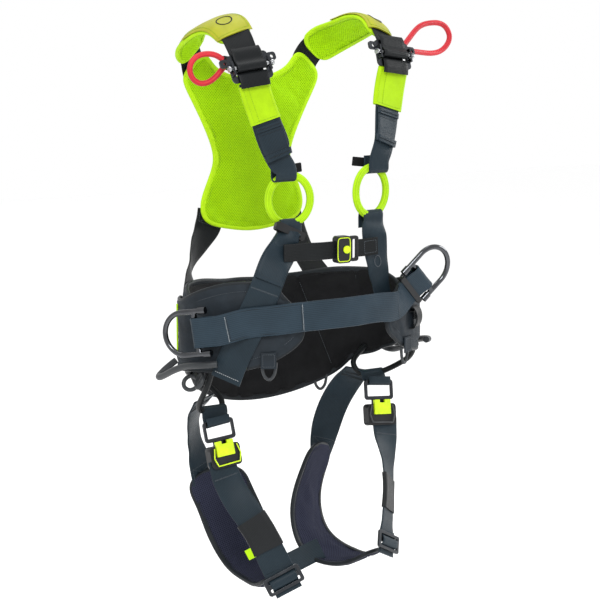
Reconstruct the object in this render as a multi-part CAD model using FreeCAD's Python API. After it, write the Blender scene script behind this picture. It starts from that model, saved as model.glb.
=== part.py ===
"""Full-body arborist climbing saddle: padded back and shoulders, waist belt and leg loops.

Frame: millimetres, origin at the centre of the waist belt, +Z up, the wearer faces -Y
and the wearer's left is +X.

Webbing and pads are bands. A station of a band is (x, y, z, yaw, pitch, width): a point on its
centre line, and the direction across it. With the direction across pointing to the wearer's
left, a band that runs downwards shows its outer face at the front.
"""
import math
import os

import FreeCAD
import Part

Vec = FreeCAD.Vector

# ---------------------------------------------------------------- driving dimensions
WEB = 44.0                      # main webbing width
WAIST_WEB = 42.0                # waist webbing width
WEB_T = 2.0                     # webbing thickness
CHEST_WEB = 25.0                # chest strap width
BACK_Y, BACK_T = 131.0, 10.0    # back pad: middle plane and thickness
SHOULDER_T = 8.0                # shoulder pad thickness
LUMBAR_T = 11.0                 # lumbar pad thickness
WING_T = 7.0                    # hip wing thickness
LEG_PAD_T = 8.0                 # leg pad thickness
LUMBAR_A, LUMBAR_B = 177.0, 115.0       # half axes of the lumbar pad's middle line
WING_A, WING_B = 187.8, 125.8           # the same for the hip wings
UNDER_A, UNDER_B = 193.0, 131.0         # webbing sewn on the wings
OVER_A, OVER_B = 198.0, 136.5           # waist webbing over it
RING_W, RING_H, RING_R = 31.0, 34.0, 4.6        # front attachment loop: half axes, tube radius
D_HALF, D_ROD, D_TAIL, D_DEPTH = 30.0, 3.8, 15.0, 50.0      # side D-ring
BAR_CLEAR = 0.1                 # gap between a D-ring's bar and its webbing eye
RUN_CLEAR = 0.08                # running gap round pins and sliding bars
UPPER_LIFT = 6.0                # the left side is drawn up this much, the right side down
LEG_LIFT = 14.0                 # the same for the front of the leg loops
PAD_LIFT = 7.0                  # the same for the leg pads and risers
HIP_LIFT = 12.0                 # the same for the low point of the hip loops
SIDES = {"left": 1, "right": -1}

# ---------------------------------------------------------------- centre lines, left side
BACK_OUTLINE = [(0, 101), (38, 105), (68, 112), (83, 122), (88, 138), (84, 158), (73, 184),
                (66, 206), (69, 228), (81, 257), (98, 290), (112, 316), (115, 333), (104, 348),
                (89, 361), (77, 361), (66, 348), (50, 337), (24, 329), (0, 327)]
SHOULDER = [(103, 127, 364, -9, -38, 50), (114, 113, 377, -2, -36, 58), (123, 84, 390, 6, -30, 62),
            (126, 50, 401, 14, -26, 61), (125, 17, 408, 20, -20, 58), (123, -9, 403, 25, -12, 53),
            (121, -26, 388, 24, -4, 50)]
STRAP_BACK = [(82, 138.4, 312, 0, -38), (92, 138.6, 336, -2, -38), (97, 137.6, 350, -5, -38)]
STRAP_FRONT = [(121, -46, 374, 14, 0), (119.5, -56, 357, 8, 0), (118, -61, 343, 4, 0)]
FRONT_STRAP = [(118, -63, 340, 4, 0), (113, -64, 322, 4, 0), (102, -71, 284, 8, 0),
               (92, -80, 246, 14, 0, 42), (85, -84, 226, 6, 0, 36)]
RING = (69, -79, 171, 12)
FOLD_R, FOLD_W = 6.6, 30.0      # webbing folds round the attachment loops
PARK_LOOP = {
    "left": [(150, -40, 374), (165, -36, 386), (185, -32, 402), (212, -28, 408), (238, -26, 402),
             (246, -26, 386), (236, -27, 371), (210, -31, 364), (184, -36, 366), (162, -42, 368),
             (150, -43, 369)],
    "right": [(-150, -38, 362), (-159, -34, 368), (-172, -30, 370), (-186, -27, 366),
              (-195, -26, 354), (-193, -26, 340), (-183, -28, 331), (-172, -31, 331),
              (-162, -36, 338), (-155, -40, 347), (-149, -42, 355)],
}
LOWER_LEFT = [(66, -91, 122, 2, 0, 38), (67, -94, 94, 4, 0, 42), (71, -96, 62, 8, 0, 38),
              (76, -97, 34, 12, 0, 34), (83, -98, 6, 16, 0, 38)]
LOWER_RIGHT = [(-75, -89, 126, -3, 0, 34), (-84, -93, 112, -6, 0, 40), (-105, -100, 86, -12, 0),
               (-121, -102.8, 56, -22, 0), (-132, -96.4, 26, -32, 0), (-145, -86.8, -10, -38, 0),
               (-157.5, -76.2, -44, -45, 0), (-166.5, -67, -78, -51, 0)]
BACK_STRAP = {
    "left": [(66, 138, 136, 0, 0), (71, 137, 112, 0, 0), (81, 134, 84, -4, 0, 40),
             (92, 127, 56, -14, 0, 36), (103, 114, 26, -26, 0, 40), (112, 101.5, -4, -30, 0)],
    "right": [(-68, 138, 136, 0, 0), (-73, 137, 112, 0, 0), (-92, 134, 84, 20, 0, 40),
              (-115, 124, 58, 52, 0, 34), (-136, 104, 30, 50, 0, 36), (-148, 88, -4, 50, 0, 42)],
}
WING_EDGES = [(24, 2, 30), (26, -18, 42), (30, -36, 51), (37, -50, 58), (50, -62, 60),
              (64, -68, 52), (80, -71, 38), (95, -74, 27), (110, -78, 24), (122, -82, 24)]
LUMBAR_EDGES = [(84, -72, -8), (90, -78, 8), (98, -82, 24), (108, -86, 37), (120, -91, 41),
                (134, -100, 42), (146, -122, 40), (162, -145, 35), (180, -154, 31)]
WAIST_TURNS = [(-49, 3), (-38, 7), (-24, 11), (-10, 13), (4, 14), (16, 14), (27, 14)]
D_BAR = {"right": (-200, -46, -11), "left": (133, -116, 49)}
D_AXIS = {"right": (-0.50, 0.85, -0.15), "left": (0.71, -0.12, 0.69)}
D_ACROSS = {"right": (-0.08, 0.13, 0.988), "left": (-0.68, -0.14, 0.68)}
GEAR_LOOP = [(179, -66, -54), (192, -54, -56), (202, -20, -62), (206, 14, -74), (206, 40, -85),
             (204, 55, -89), (197, 63, -87), (186, 62, -78), (176, 55, -68)]
HIP = (138, 18, -127)
HIP_LOOP = [(173, -46, -58), (176, -34, -84), (173, -8, -108), (162, 11, -122), (149, 17.5, -126.6),
            (138, 18, -127), (128, 18.5, -126.8), (119, 23, -122), (118, 34, -111),
            (132, 46, -98), (152, 53, -84)]
LEG_FRONT = [(142, -13, -190, 0, 0), (139, -20, -212, 6, 0), (130, -38, -245, 32, 0, 43),
             (113, -66, -286, 42, 0, 42), (98, -84, -330, 34, 0), (89, -94, -356, 26, 0)]
LEG_PAD = [(99, 86, -236, 32, -6, 52), (94, 87, -248, 32, -8, 76), (81, 87, -276, 32, -10, 88),
           (65, 81, -318, 30, -8, 90), (57, 60, -356, 26, -4, 86), (58, 28, -380, 18, 2, 80),
           (64, -12, -387, 10, 4, 72), (73, -48, -382, 6, 4, 60), (82, -78, -364, 10, 4, 48)]
RISER = [(134, 44, -118, -24, 0), (132, 73, -144, -36, 0), (124, 97, -182, -40, 0),
         (113, 103, -220, -20, 0), (101, 99, -258, 14, 0)]
SUBPELVIC = [(-50, 18, -392, 90, 50, 30), (-28, 14, -389, 90, 56, 32), (0, 8, -380, 90, 60, 32),
             (22, 3, -371, 90, 62, 32), (38, 1, -366, 90, 62, 32)]


# ---------------------------------------------------------------- construction helpers
def mirrored(stations):
    """The same band on the wearer's other side."""
    out = []
    for s in stations:
        out.append((-s[0], s[1], s[2], -s[3], -s[4]) + tuple(s[5:]))
    return out


def sided(stations, side, lift=0.0):
    """Left stations raised by lift, or their mirror image lowered by it."""
    rows = stations if side == "left" else mirrored(stations)
    out = []
    for s in rows:
        out.append((s[0], s[1], s[2] + SIDES[side] * lift) + tuple(s[3:]))
    return out


def ellipse(a, b, turn, z):
    """Point on a belt ellipse: turn 0 at the front, 90 at the wearer's left, 180 behind."""
    t = math.radians(turn)
    return a * math.sin(t), -b * math.cos(t), z


def belt(a, b, edges):
    """Stations of a belt panel from (turn, bottom, top) triples."""
    out = []
    for turn, low, high in edges:
        x, y, z = ellipse(a, b, turn, 0.5 * (low + high))
        out.append((x, y, z, 0, 90, high - low))
    return out


def spline(points, params=None):
    curve = Part.BSplineCurve()
    if params is None:
        curve.interpolate([Vec(*p) for p in points])
    else:
        curve.interpolate(Points=[Vec(*p) for p in points], Parameters=params)
    return curve


def frames(stations, width=WEB):
    """Centre, direction across, outward normal, width and parameter at every station."""
    centres = [Vec(*s[:3]) for s in stations]
    params = [0.0]
    for p, q in zip(centres, centres[1:]):
        params.append(params[-1] + (q - p).Length)
    middle = spline(centres, params)
    out = []
    for s, c, u in zip(stations, centres, params):
        yaw, pitch = math.radians(s[3]), math.radians(s[4])
        level = math.cos(pitch)
        across = Vec(math.cos(yaw) * level, math.sin(yaw) * level, math.sin(pitch))
        along = middle.tangent(u)[0]
        across = (across - along * across.dot(along)).normalize()
        normal = along.cross(across).normalize()
        out.append((c, across, normal, s[5] if len(s) > 5 else width, u))
    return out


def band(stations, thick, width=WEB, offset=0.0, grow=0.0):
    """Closed solid along the stations, moved outward by offset."""
    corners = [[], [], [], []]
    params = []
    for c, across, normal, wide, u in frames(stations, width):
        half = 0.5 * (wide + grow)
        inner = c + normal * (offset - 0.5 * thick)
        outer = c + normal * (offset + 0.5 * thick)
        corners[0].append(inner - across * half)
        corners[1].append(inner + across * half)
        corners[2].append(outer + across * half)
        corners[3].append(outer - across * half)
        params.append(u)
    edges = [spline(row, params).toShape() for row in corners]
    faces = []
    for i in range(4):
        faces.append(Part.makeRuledSurface(edges[i], edges[(i + 1) % 4], 1))
    for end in (0, -1):
        ring = [row[end] for row in corners]
        faces.append(Part.Face(Part.makePolygon(ring + ring[:1])))
    shell = Part.makeShell(faces)
    shell.sewShape()
    solid = Part.makeSolid(shell.Shells[0])
    if solid.Volume < 0:
        solid.reverse()
    return solid


def shifted(stations, offset, width=WEB):
    """Stations moved along their own outward normals."""
    out = []
    for s, (c, across, normal, wide, u) in zip(stations, frames(stations, width)):
        p = c + normal * offset
        out.append((p.x, p.y, p.z, s[3], s[4], wide))
    return out


def sleeve(stations, inside, wall, width=WEB, offset=0.0):
    """Flat tube of cloth round a band."""
    outer = band(stations, inside + 2 * wall, width, offset, 2 * wall + 2)
    return outer.cut(band(lengthened(stations, 4), inside, width, offset, 2))


def lengthened(stations, extra):
    """The same band run on past both ends."""
    out = []
    for end, near in ((stations[0], stations[1]), (stations[-1], stations[-2])):
        step = Vec(*end[:3]) - Vec(*near[:3])
        p = Vec(*end[:3]) + step * (extra / step.Length)
        out.append((p.x, p.y, p.z) + tuple(end[3:]))
    return [out[0]] + list(stations) + [out[1]]


def between(stations, start, stop, count=5):
    """Stations resampled between two fractions of the band's length."""
    rows = frames(stations)
    middle = spline([row[0] for row in rows], [row[4] for row in rows])
    total = rows[-1][4]
    out = []
    for i in range(count):
        u = total * (start + (stop - start) * i / (count - 1))
        k = max(j for j in range(len(rows) - 1) if rows[j][4] <= u or j == 0)
        f = (u - rows[k][4]) / (rows[k + 1][4] - rows[k][4])
        p = middle.value(u)
        a, b = stations[k], stations[k + 1]
        yaw = a[3] + (b[3] - a[3]) * f
        pitch = a[4] + (b[4] - a[4]) * f
        wide = rows[k][3] + (rows[k + 1][3] - rows[k][3]) * f
        out.append((p.x, p.y, p.z, yaw, pitch, wide))
    return out


def tube(points, radius):
    """Round cord through the points."""
    curve = spline(points)
    first = curve.FirstParameter
    profile = Part.Wire(Part.makeCircle(radius, curve.value(first), curve.tangent(first)[0]))
    return Part.Wire(curve.toShape()).makePipeShell([profile], True, False)


def at(shape, origin, x_dir, z_dir):
    """Shape moved so that its own X and Z lie along the given directions."""
    z_axis = Vec(*z_dir).normalize()
    x_axis = Vec(*x_dir)
    x_axis = (x_axis - z_axis * x_axis.dot(z_axis)).normalize()
    y_axis = z_axis.cross(x_axis)
    rows = []
    for i in range(3):
        rows += [x_axis[i], y_axis[i], z_axis[i], origin[i]]
    moved = shape.copy()
    moved.transformShape(FreeCAD.Matrix(*rows, 0, 0, 0, 1))
    return moved


def plate(wide, high, thick, corner, z=0.0):
    """Rounded plate centred on the origin, from z upwards."""
    box = Part.makeBox(wide, high, thick, Vec(-wide / 2, -high / 2, z))
    upright = [e for e in box.Edges if abs(e.tangentAt(e.FirstParameter).z) > 0.9]
    return box.makeFillet(corner, upright)


def rod(radius, length, centre=(0, 0, 0)):
    """Round bar along X."""
    return Part.makeCylinder(radius, length, Vec(centre[0] - length / 2, *centre[1:]), Vec(1, 0, 0))


def facing(stations, index, width=WEB):
    """Centre, across and normal of a band at one station."""
    row = frames(stations, width)[index]
    return row[0], row[1], row[2]


def save(name, *solids):
    shape = solids[0] if len(solids) == 1 else Part.makeCompound(list(solids))
    if not shape.isValid():
        print("not valid:", name)
    shape.exportStep("parts/" + name + ".step")


def both(name, make):
    """One node for each side."""
    for side in SIDES:
        save(name + "_" + side, make(side))


def paired(name, make):
    """One node that holds the same piece of both sides."""
    save(name, *[make(side) for side in SIDES])


# ---------------------------------------------------------------- back and shoulders
def back_pad():
    half = [Vec(x, BACK_Y - BACK_T / 2, z) for x, z in BACK_OUTLINE]
    other = [Vec(-p.x, p.y, p.z) for p in reversed(half[1:-1])]
    curve = Part.BSplineCurve()
    curve.interpolate(half + other, PeriodicFlag=True)
    return Part.Face(Part.Wire(curve.toShape())).extrude(Vec(0, BACK_T, 0))


def shoulder_pad(side):
    return band(sided(SHOULDER, side), SHOULDER_T)


def shoulder_cover(side):
    rows = between(sided(SHOULDER, side), 0.43, 0.97, 6)
    return band(shifted(rows, SHOULDER_T / 2 + 4.7), 1.6)


def shoulder_strap(side):
    over = [row[:5] + (42.0,) for row in shifted(sided(SHOULDER, side), SHOULDER_T / 2 + 1.8)]
    rows = sided(STRAP_BACK, side) + over + sided(STRAP_FRONT, side, UPPER_LIFT)
    return band(rows, WEB_T, 42.0)


def adjuster_place(side):
    return facing(sided(STRAP_FRONT, side, UPPER_LIFT), 1)


def on_adjuster(side, shape, lift=0.0):
    centre, across, normal = adjuster_place(side)
    return at(shape, centre + normal * lift, across, normal)


def adjuster_frame(side):
    frame = plate(62, 40, 3, 6).cut(plate(48, 24, 5, 2, -1))
    for x in (-29.5, 26.5):
        ear = Part.makeBox(3, 20, 7, Vec(x, -10, 3))
        frame = frame.fuse(ear)
    slot = Part.makeBox(70, 10, 2 * (3.0 + RUN_CLEAR), Vec(-35, -5, 5.0 - 3.0 - RUN_CLEAR + 1.2))
    lug = plate(14, 12, 3, 4).cut(Part.makeCylinder(2.6, 6, Vec(1, 0, -1)))
    for x in (-36, 36):
        piece = lug.copy()
        piece.translate(Vec(x, 10, 0))
        frame = frame.fuse(piece)
    return on_adjuster(side, frame.cut(slot).removeSplitter(), 1.4)


def adjuster_bar(side):
    bar = rod(3.0, 66, (0, 0, 6.2))
    for x in (-34.5, 31.5):
        bar = bar.fuse(Part.makeCylinder(4.2, 3, Vec(x, 0, 6.2), Vec(1, 0, 0)))
    return on_adjuster(side, bar, 1.4)


def loop_fold(x, y, z, sense):
    """Stations of webbing turned round an attachment loop: sense -1 comes down in front of it."""
    fold = []
    for k in range(0, 181, 30):
        t = math.radians(k)
        fold.append((x, y - FOLD_R * math.cos(t), z + sense * FOLD_R * math.sin(t), 0, 0, FOLD_W))
    fold.insert(0, (x, y - FOLD_R, z - sense * 8, 0, 0, FOLD_W))
    fold.append((x, y + FOLD_R, z - sense * 8, 0, 0, FOLD_W))
    fold.append((x, y + FOLD_R, z - sense * 18, 0, 0, FOLD_W))
    return fold


def front_strap(side):
    x, y, z, yaw = ring_place(side)
    fold = loop_fold(x + SIDES[side] * 9, y, z + RING_H - 1.4, -1)
    return band(sided(FRONT_STRAP, side, UPPER_LIFT) + fold, WEB_T)


def strap_sleeve(side):
    rows = between(sided(FRONT_STRAP, side, UPPER_LIFT), 0.05, 0.49)
    return sleeve(rows, WEB_T + 1.4, 1.6, WEB)


def strap_end(side):
    rows = between(sided(FRONT_STRAP, side, UPPER_LIFT), 0.52, 0.93)
    return band(shifted(rows, 2.6), 1.8, 40.0, 0.0, -4.0)


def strap_keeper(side):
    rows = between(sided(FRONT_STRAP, side, UPPER_LIFT), 0.80, 0.86)
    return sleeve(rows, 6.0, 1.2, WEB, 1.3)


def loop_label(side):
    x, y, z, yaw = ring_place(side)
    place = (x - SIDES[side] * 14, y + FOLD_R + 3.2, z + RING_H + 8)
    return at(plate(24, 13, 1.2, 1.5), place, (1, 0, SIDES[side] * -0.12), (0, -1, 0))


def ring_place(side):
    x, y, z, yaw = RING
    return SIDES[side] * x, y, z + SIDES[side] * 2.0, SIDES[side] * yaw


def attachment_loop(side):
    x, y, z, yaw = ring_place(side)
    t = math.radians(yaw)
    ring = Part.makeTorus(RING_W, RING_R, Vec(0, 0, 0), Vec(0, 0, 1))
    m = FreeCAD.Matrix()
    m.scale(1.0, RING_H / RING_W, 1.0)
    ring = ring.transformGeometry(m)
    return at(ring, (x, y, z), (math.cos(t), math.sin(t), 0), (math.sin(t), -math.cos(t), 0))


def park_loop(side):
    return tube(PARK_LOOP[side], 4.0)


def park_tab(side):
    first, last = Vec(*PARK_LOOP[side][0]), Vec(*PARK_LOOP[side][-1])
    middle = (first + last) * 0.5
    inward = Vec(-SIDES[side], 0.1, -0.25)
    return at(plate(26, 20, 9, 3, -4.5), middle + inward * 11.5, inward, (0.0, -1.0, 0.2))


# ---------------------------------------------------------------- front and chest
def lower_front_strap(side):
    rows = list(LOWER_LEFT if side == "left" else LOWER_RIGHT)
    x, y, z, yaw = ring_place(side)
    fold = loop_fold(x, y, z - RING_H, 1)
    return band(fold[::-1] + rows, WEB_T)


CHEST_Y = -103.0
CHEST_Z = 97.0
CHEST_X = 3.0                   # centre of the chest buckle's housing
TONGUE_IN = 12.0                # how far the tongue sits in the housing


def chest_strap_right():
    rows = [(-94, CHEST_Y - 1, 98, 0, 90), (-64, CHEST_Y, 98, 0, 90),
            (-38, CHEST_Y, CHEST_Z, 0, 90), (CHEST_X - 12.6, CHEST_Y, CHEST_Z, 0, 90)]
    return band(rows, WEB_T, CHEST_WEB)


def chest_housing():
    body = plate(24, 38, 12, 5, -6)
    body = body.cut(Part.makeBox(TONGUE_IN + 2.4, 24, 5.2, Vec(12 - TONGUE_IN - 2.2, -12, -2.6)))
    body = body.cut(Part.makeCylinder(5.6, 6, Vec(4, 0, 2)))
    return at(body, (CHEST_X, CHEST_Y, CHEST_Z), (1, 0, 0), (0, -1, 0))


def chest_button():
    button = Part.makeCylinder(5.4, 4.2, Vec(4, 0, 3.7))
    return at(button, (CHEST_X, CHEST_Y, CHEST_Z), (1, 0, 0), (0, -1, 0))


def chest_tongue():
    blade = Part.makeBox(TONGUE_IN + 3, 22, 4.0, Vec(12 - TONGUE_IN, -11, -2.0))
    frame = plate(14, 36, 5, 4, -2.5).cut(plate(6.5, 27, 9, 1.5, -4))
    frame.translate(Vec(20, 0, 0))
    return at(blade.fuse(frame), (CHEST_X, CHEST_Y, CHEST_Z), (1, 0, 0), (0, -1, 0))


def chest_strap_left():
    rows = [(CHEST_X + 28, CHEST_Y, CHEST_Z, 0, 90), (CHEST_X + 38, CHEST_Y, CHEST_Z, 0, 90),
            (CHEST_X + 48, CHEST_Y, CHEST_Z + 0.5, 0, 90), (64, CHEST_Y, CHEST_Z + 1, 0, 90)]
    return band(rows, WEB_T, CHEST_WEB)


def strap_slider():
    centre, across, normal = facing(LOWER_RIGHT, 0)
    frame = plate(47, 12, 8, 3, -4).cut(Part.makeBox(40, 20, 4.8, Vec(-20, -10, -2.4)))
    return at(frame, centre, across, normal)


# ---------------------------------------------------------------- waist
def back_strap(side):
    return band(BACK_STRAP[side], WEB_T)


def lumbar_pad():
    other = [(360 - turn, low, high) for turn, low, high in reversed(LUMBAR_EDGES[:-1])]
    return band(belt(LUMBAR_A, LUMBAR_B, LUMBAR_EDGES + other), LUMBAR_T)


def hip_wing(side):
    edges = WING_EDGES if side == "left" else [(-t, lo, hi) for t, lo, hi in reversed(WING_EDGES)]
    return band(belt(WING_A, WING_B, edges), WING_T)


def before_bar(side, distance):
    """Station of the waist webbing at a distance before the D-ring's bar."""
    bar, axis = Vec(*D_BAR[side]), Vec(*D_AXIS[side]).normalize()
    p = bar - axis * distance
    x, y, z = D_ACROSS[side]
    return (p.x, p.y, p.z, math.degrees(math.atan2(y, x)), math.degrees(math.asin(z)))


def waist_rows():
    rows = [before_bar("right", 5), before_bar("right", 18), before_bar("right", 31)]
    for turn, z in WAIST_TURNS:
        rows.append(ellipse(OVER_A, OVER_B, turn, z) + (0, 90))
    return rows + [before_bar("left", 32), before_bar("left", 18), before_bar("left", 5)]


def waist_webbing():
    solid = band(waist_rows(), WEB_T, WAIST_WEB)
    for side in SIDES:
        bar, across = Vec(*D_BAR[side]), Vec(*D_ACROSS[side]).normalize()
        start = bar - across * (WAIST_WEB / 2)
        solid = solid.fuse(Part.makeCylinder(D_ROD + BAR_CLEAR + 2.4, WAIST_WEB, start, across))
        solid = solid.cut(Part.makeCylinder(D_ROD + BAR_CLEAR, WAIST_WEB, start, across))
    return solid


def side_d_ring(side):
    """Local X runs to the bow, local Z along the bar."""
    bend = D_DEPTH - D_HALF
    ring = Part.makeTorus(D_HALF, D_ROD, Vec(bend, 0, 0), Vec(0, 1, 0))
    ring = ring.common(Part.makeBox(60, 20, 100, Vec(bend, -10, -50)))
    ring = ring.fuse(Part.makeCylinder(D_ROD, 2 * D_HALF, Vec(0, 0, -D_HALF), Vec(0, 0, 1)))
    for z in (-D_HALF, D_HALF):
        leg = Part.makeCylinder(D_ROD, D_TAIL + bend, Vec(-D_TAIL, 0, z), Vec(1, 0, 0))
        cap = Part.makeCylinder(D_ROD + 1.2, 11, Vec(-D_TAIL - 4, 0, z), Vec(1, 0, 0))
        ring = ring.fuse(leg).fuse(cap)
    return at(ring, D_BAR[side], D_AXIS[side], D_ACROSS[side])


def d_ring_keeper(side):
    """Stiff keeper across the waist webbing, just before the D-ring."""
    keeper = plate(54, 8, 7, 2.5, -3.5).cut(Part.makeBox(44, 10, 3.4, Vec(-22, -5, -1.7)))
    axis = Vec(*D_AXIS[side]).normalize()
    across = Vec(*D_ACROSS[side]).normalize()
    return at(keeper, Vec(*D_BAR[side]) - axis * 25.0, across, axis.cross(across))


def gear_loop(side):
    return tube([(SIDES[side] * x, y, z) for x, y, z in GEAR_LOOP], 4.8)


def accessory_loops():
    out = []
    for turn in (-38, 38, 146):
        points = []
        for k in range(0, 181, 30):
            t = math.radians(k)
            shift = math.degrees(9.0 * math.cos(t) / 150.0)
            reach = 62.0 if abs(turn) < 90 else 132.0
            a, b = (WING_A, WING_B) if abs(turn) < 90 else (LUMBAR_A, LUMBAR_B)
            points.append(ellipse(a, b, turn + shift, 9 - reach - 24 * math.sin(t)))
        out.append(tube(points, 2.2))
    return out


# ---------------------------------------------------------------- leg loops
def hip_place(side):
    return Vec(SIDES[side] * HIP[0], HIP[1], HIP[2] + SIDES[side] * HIP_LIFT)


def hip_loop(side):
    """Cord that hangs the leg loop from the belt: its ends stay on the belt as it is lifted."""
    points = []
    for x, y, z in HIP_LOOP:
        share = min(1.0, (HIP_LOOP[0][2] - z) / 60.0)
        points.append((SIDES[side] * x, y, z + SIDES[side] * HIP_LIFT * share))
    return tube(points, 4.2)


BUCKLE = (139, -2, -150)


def buckle_axes(side):
    rows = sided(LEG_FRONT, side, LEG_LIFT)
    centre, across, normal = facing(rows, 0)
    origin = Vec(SIDES[side] * BUCKLE[0], BUCKLE[1], BUCKLE[2] + SIDES[side] * LEG_LIFT)
    return origin, across, normal, normal.cross(across)


def on_buckle(side, shape):
    origin, across, normal, along = buckle_axes(side)
    return at(shape, origin, across, normal)


def leg_hanger(side):
    """Webbing folded over the hip loop and through the buckle's frame."""
    origin, across, normal, along = buckle_axes(side)
    bar = origin + along * 12.5
    top = hip_place(side)
    yaw = math.degrees(math.atan2(across.y, across.x))
    pitch = math.degrees(math.asin(across.z))
    rows = []
    for k in range(0, 181, 30):
        t = math.radians(k)
        rows.append((top.x, top.y + 6.6 * math.cos(t), top.z + 6.6 * math.sin(t), 0, 0, 20))
    for k in range(180, -1, -30):
        t = math.radians(k)
        p = bar + normal * (5.2 * math.cos(t)) - along * (5.2 * math.sin(t))
        rows.append((p.x, p.y, p.z, yaw, pitch))
    end = bar + normal * 5.0 + along * 7.0
    rows.append((end.x, end.y, end.z, yaw, pitch))
    return band(rows, 1.6, 34.0)


def leg_buckle_frame(side):
    frame = plate(50, 30, 4, 5, -2).cut(plate(42, 19, 8, 1.5, -4))
    tongue = Part.makeBox(26, 19, 3.4, Vec(-13, -32, -1.7))
    return on_buckle(side, frame.fuse(tongue))


def leg_buckle_body(side):
    body = plate(50, 32, 14, 6, -7)
    body.translate(Vec(0, -37, 0))
    body = body.cut(Part.makeBox(27, 12.4, 4.4, Vec(-13.5, -33.2, -2.2)))
    body = body.cut(Part.makeBox(30.6, 16.8, 5, Vec(-15.3, -37.5, 3.4)))
    return on_buckle(side, body)


def leg_buckle_lever(side):
    lever = Part.makeBox(29, 22, 4, Vec(-14.5, -36.9, 5.2))
    lever = lever.cut(Part.makeBox(9, 6, 8, Vec(-4.5, -19.5, 3)))
    return on_buckle(side, lever)


def leg_front_strap(side):
    rows = sided(LEG_FRONT, side, LEG_LIFT)
    return band(rows[1:], WEB_T)


def leg_sleeve(side):
    rows = between(sided(LEG_FRONT, side, LEG_LIFT)[1:], 0.42, 0.72)
    return sleeve(rows, WEB_T + 1.4, 1.6, WEB)


def leg_slide(side):
    centre, across, normal = facing(sided(LEG_FRONT, side, LEG_LIFT), 5)
    frame = plate(56, 26, 4, 4, -2).cut(plate(46, 5, 6, 1.5, -3).translated(Vec(0, 6, 0)))
    frame = frame.cut(plate(46, 5, 6, 1.5, -3).translated(Vec(0, -6, 0)))
    return at(frame, centre + normal * 4.0, across, normal)


def leg_pad(side):
    return band(sided(LEG_PAD, side, PAD_LIFT), LEG_PAD_T)


def hip_riser(side):
    return band(sided(RISER, side, PAD_LIFT), WEB_T)


def subpelvic_strap():
    return band(SUBPELVIC, WEB_T, 38.0)


def main():
    os.makedirs("parts", exist_ok=True)
    save("back_pad", back_pad())
    both("shoulder_pad", shoulder_pad)
    both("shoulder_cover", shoulder_cover)
    both("shoulder_strap", shoulder_strap)
    both("adjuster_frame", adjuster_frame)
    both("adjuster_bar", adjuster_bar)
    both("front_strap", front_strap)
    paired("strap_sleeves", strap_sleeve)
    paired("strap_ends", strap_end)
    paired("strap_keepers", strap_keeper)
    paired("loop_labels", loop_label)
    both("attachment_loop", attachment_loop)
    both("park_loop", park_loop)
    paired("park_tabs", park_tab)
    both("lower_front_strap", lower_front_strap)
    save("chest_strap_right", chest_strap_right())
    save("chest_housing", chest_housing())
    save("chest_button", chest_button())
    save("chest_tongue", chest_tongue())
    save("chest_strap_left", chest_strap_left())
    save("strap_slider", strap_slider())
    both("back_strap", back_strap)
    save("lumbar_pad", lumbar_pad())
    both("hip_wing", hip_wing)
    save("waist_webbing", waist_webbing())
    save("d_ring_keeper", d_ring_keeper("left"))
    both("side_d_ring", side_d_ring)
    both("gear_loop", gear_loop)
    save("accessory_loops", *accessory_loops())
    paired("hip_loops", hip_loop)
    both("leg_hanger", leg_hanger)
    both("leg_buckle_frame", leg_buckle_frame)
    both("leg_buckle_body", leg_buckle_body)
    both("leg_buckle_lever", leg_buckle_lever)
    both("leg_front_strap", leg_front_strap)
    paired("leg_sleeves", leg_sleeve)
    paired("leg_slides", leg_slide)
    both("leg_pad", leg_pad)
    both("hip_riser", hip_riser)
    save("subpelvic_strap", subpelvic_strap())


main()
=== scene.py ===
"""Fabric, webbing and hardware of a full-body climbing saddle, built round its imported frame.

Tables are in millimetres. A station is (x, y, z, yaw, pitch, width): a point on the middle of a
strap or pad, the direction across it and, where it differs from the usual, its width.
"""
import math

import bpy
import numpy as np
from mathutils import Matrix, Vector


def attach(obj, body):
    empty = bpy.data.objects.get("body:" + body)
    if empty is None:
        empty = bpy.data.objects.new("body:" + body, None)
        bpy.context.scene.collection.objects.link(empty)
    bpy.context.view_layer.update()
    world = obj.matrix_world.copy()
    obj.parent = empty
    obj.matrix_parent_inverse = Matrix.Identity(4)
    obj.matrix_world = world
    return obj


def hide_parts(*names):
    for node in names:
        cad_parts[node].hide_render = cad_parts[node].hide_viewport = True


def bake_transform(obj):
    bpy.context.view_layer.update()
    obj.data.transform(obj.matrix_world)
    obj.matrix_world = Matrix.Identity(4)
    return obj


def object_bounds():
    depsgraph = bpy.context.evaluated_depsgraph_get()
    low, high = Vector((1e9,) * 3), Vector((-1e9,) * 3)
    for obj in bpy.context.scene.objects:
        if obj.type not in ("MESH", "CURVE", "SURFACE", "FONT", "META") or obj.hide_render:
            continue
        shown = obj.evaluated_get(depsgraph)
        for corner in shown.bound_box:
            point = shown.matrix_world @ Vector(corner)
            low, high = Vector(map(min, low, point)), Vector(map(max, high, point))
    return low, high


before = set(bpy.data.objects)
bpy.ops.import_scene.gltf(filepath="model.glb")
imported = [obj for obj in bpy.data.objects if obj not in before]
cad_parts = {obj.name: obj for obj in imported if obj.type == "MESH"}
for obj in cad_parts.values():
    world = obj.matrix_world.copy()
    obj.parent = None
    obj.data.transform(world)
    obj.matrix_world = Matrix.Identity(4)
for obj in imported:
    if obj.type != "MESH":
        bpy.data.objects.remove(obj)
cad_low, cad_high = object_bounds()

MM = 0.001
SIDES = {"left": 1, "right": -1}

# Webbing: usual width and thickness, and the widths that differ from it.
WEB, WEB_T, WAIST_WEB, OVER_WEB, CHEST_WEB = 44.0, 2.0, 42.0, 42.0, 25.0
ON_WEB = 1.1            # height of thread over the middle of a strap
# Padding: thicknesses, the back pad's middle plane and the voxel of its remesh in metres.
SHOULDER_T, LUMBAR_T, WING_T, LEG_PAD_T = 8.0, 11.0, 7.0, 8.0
BACK_Y, BACK_VOXEL = 131.0, 0.0036
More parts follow.
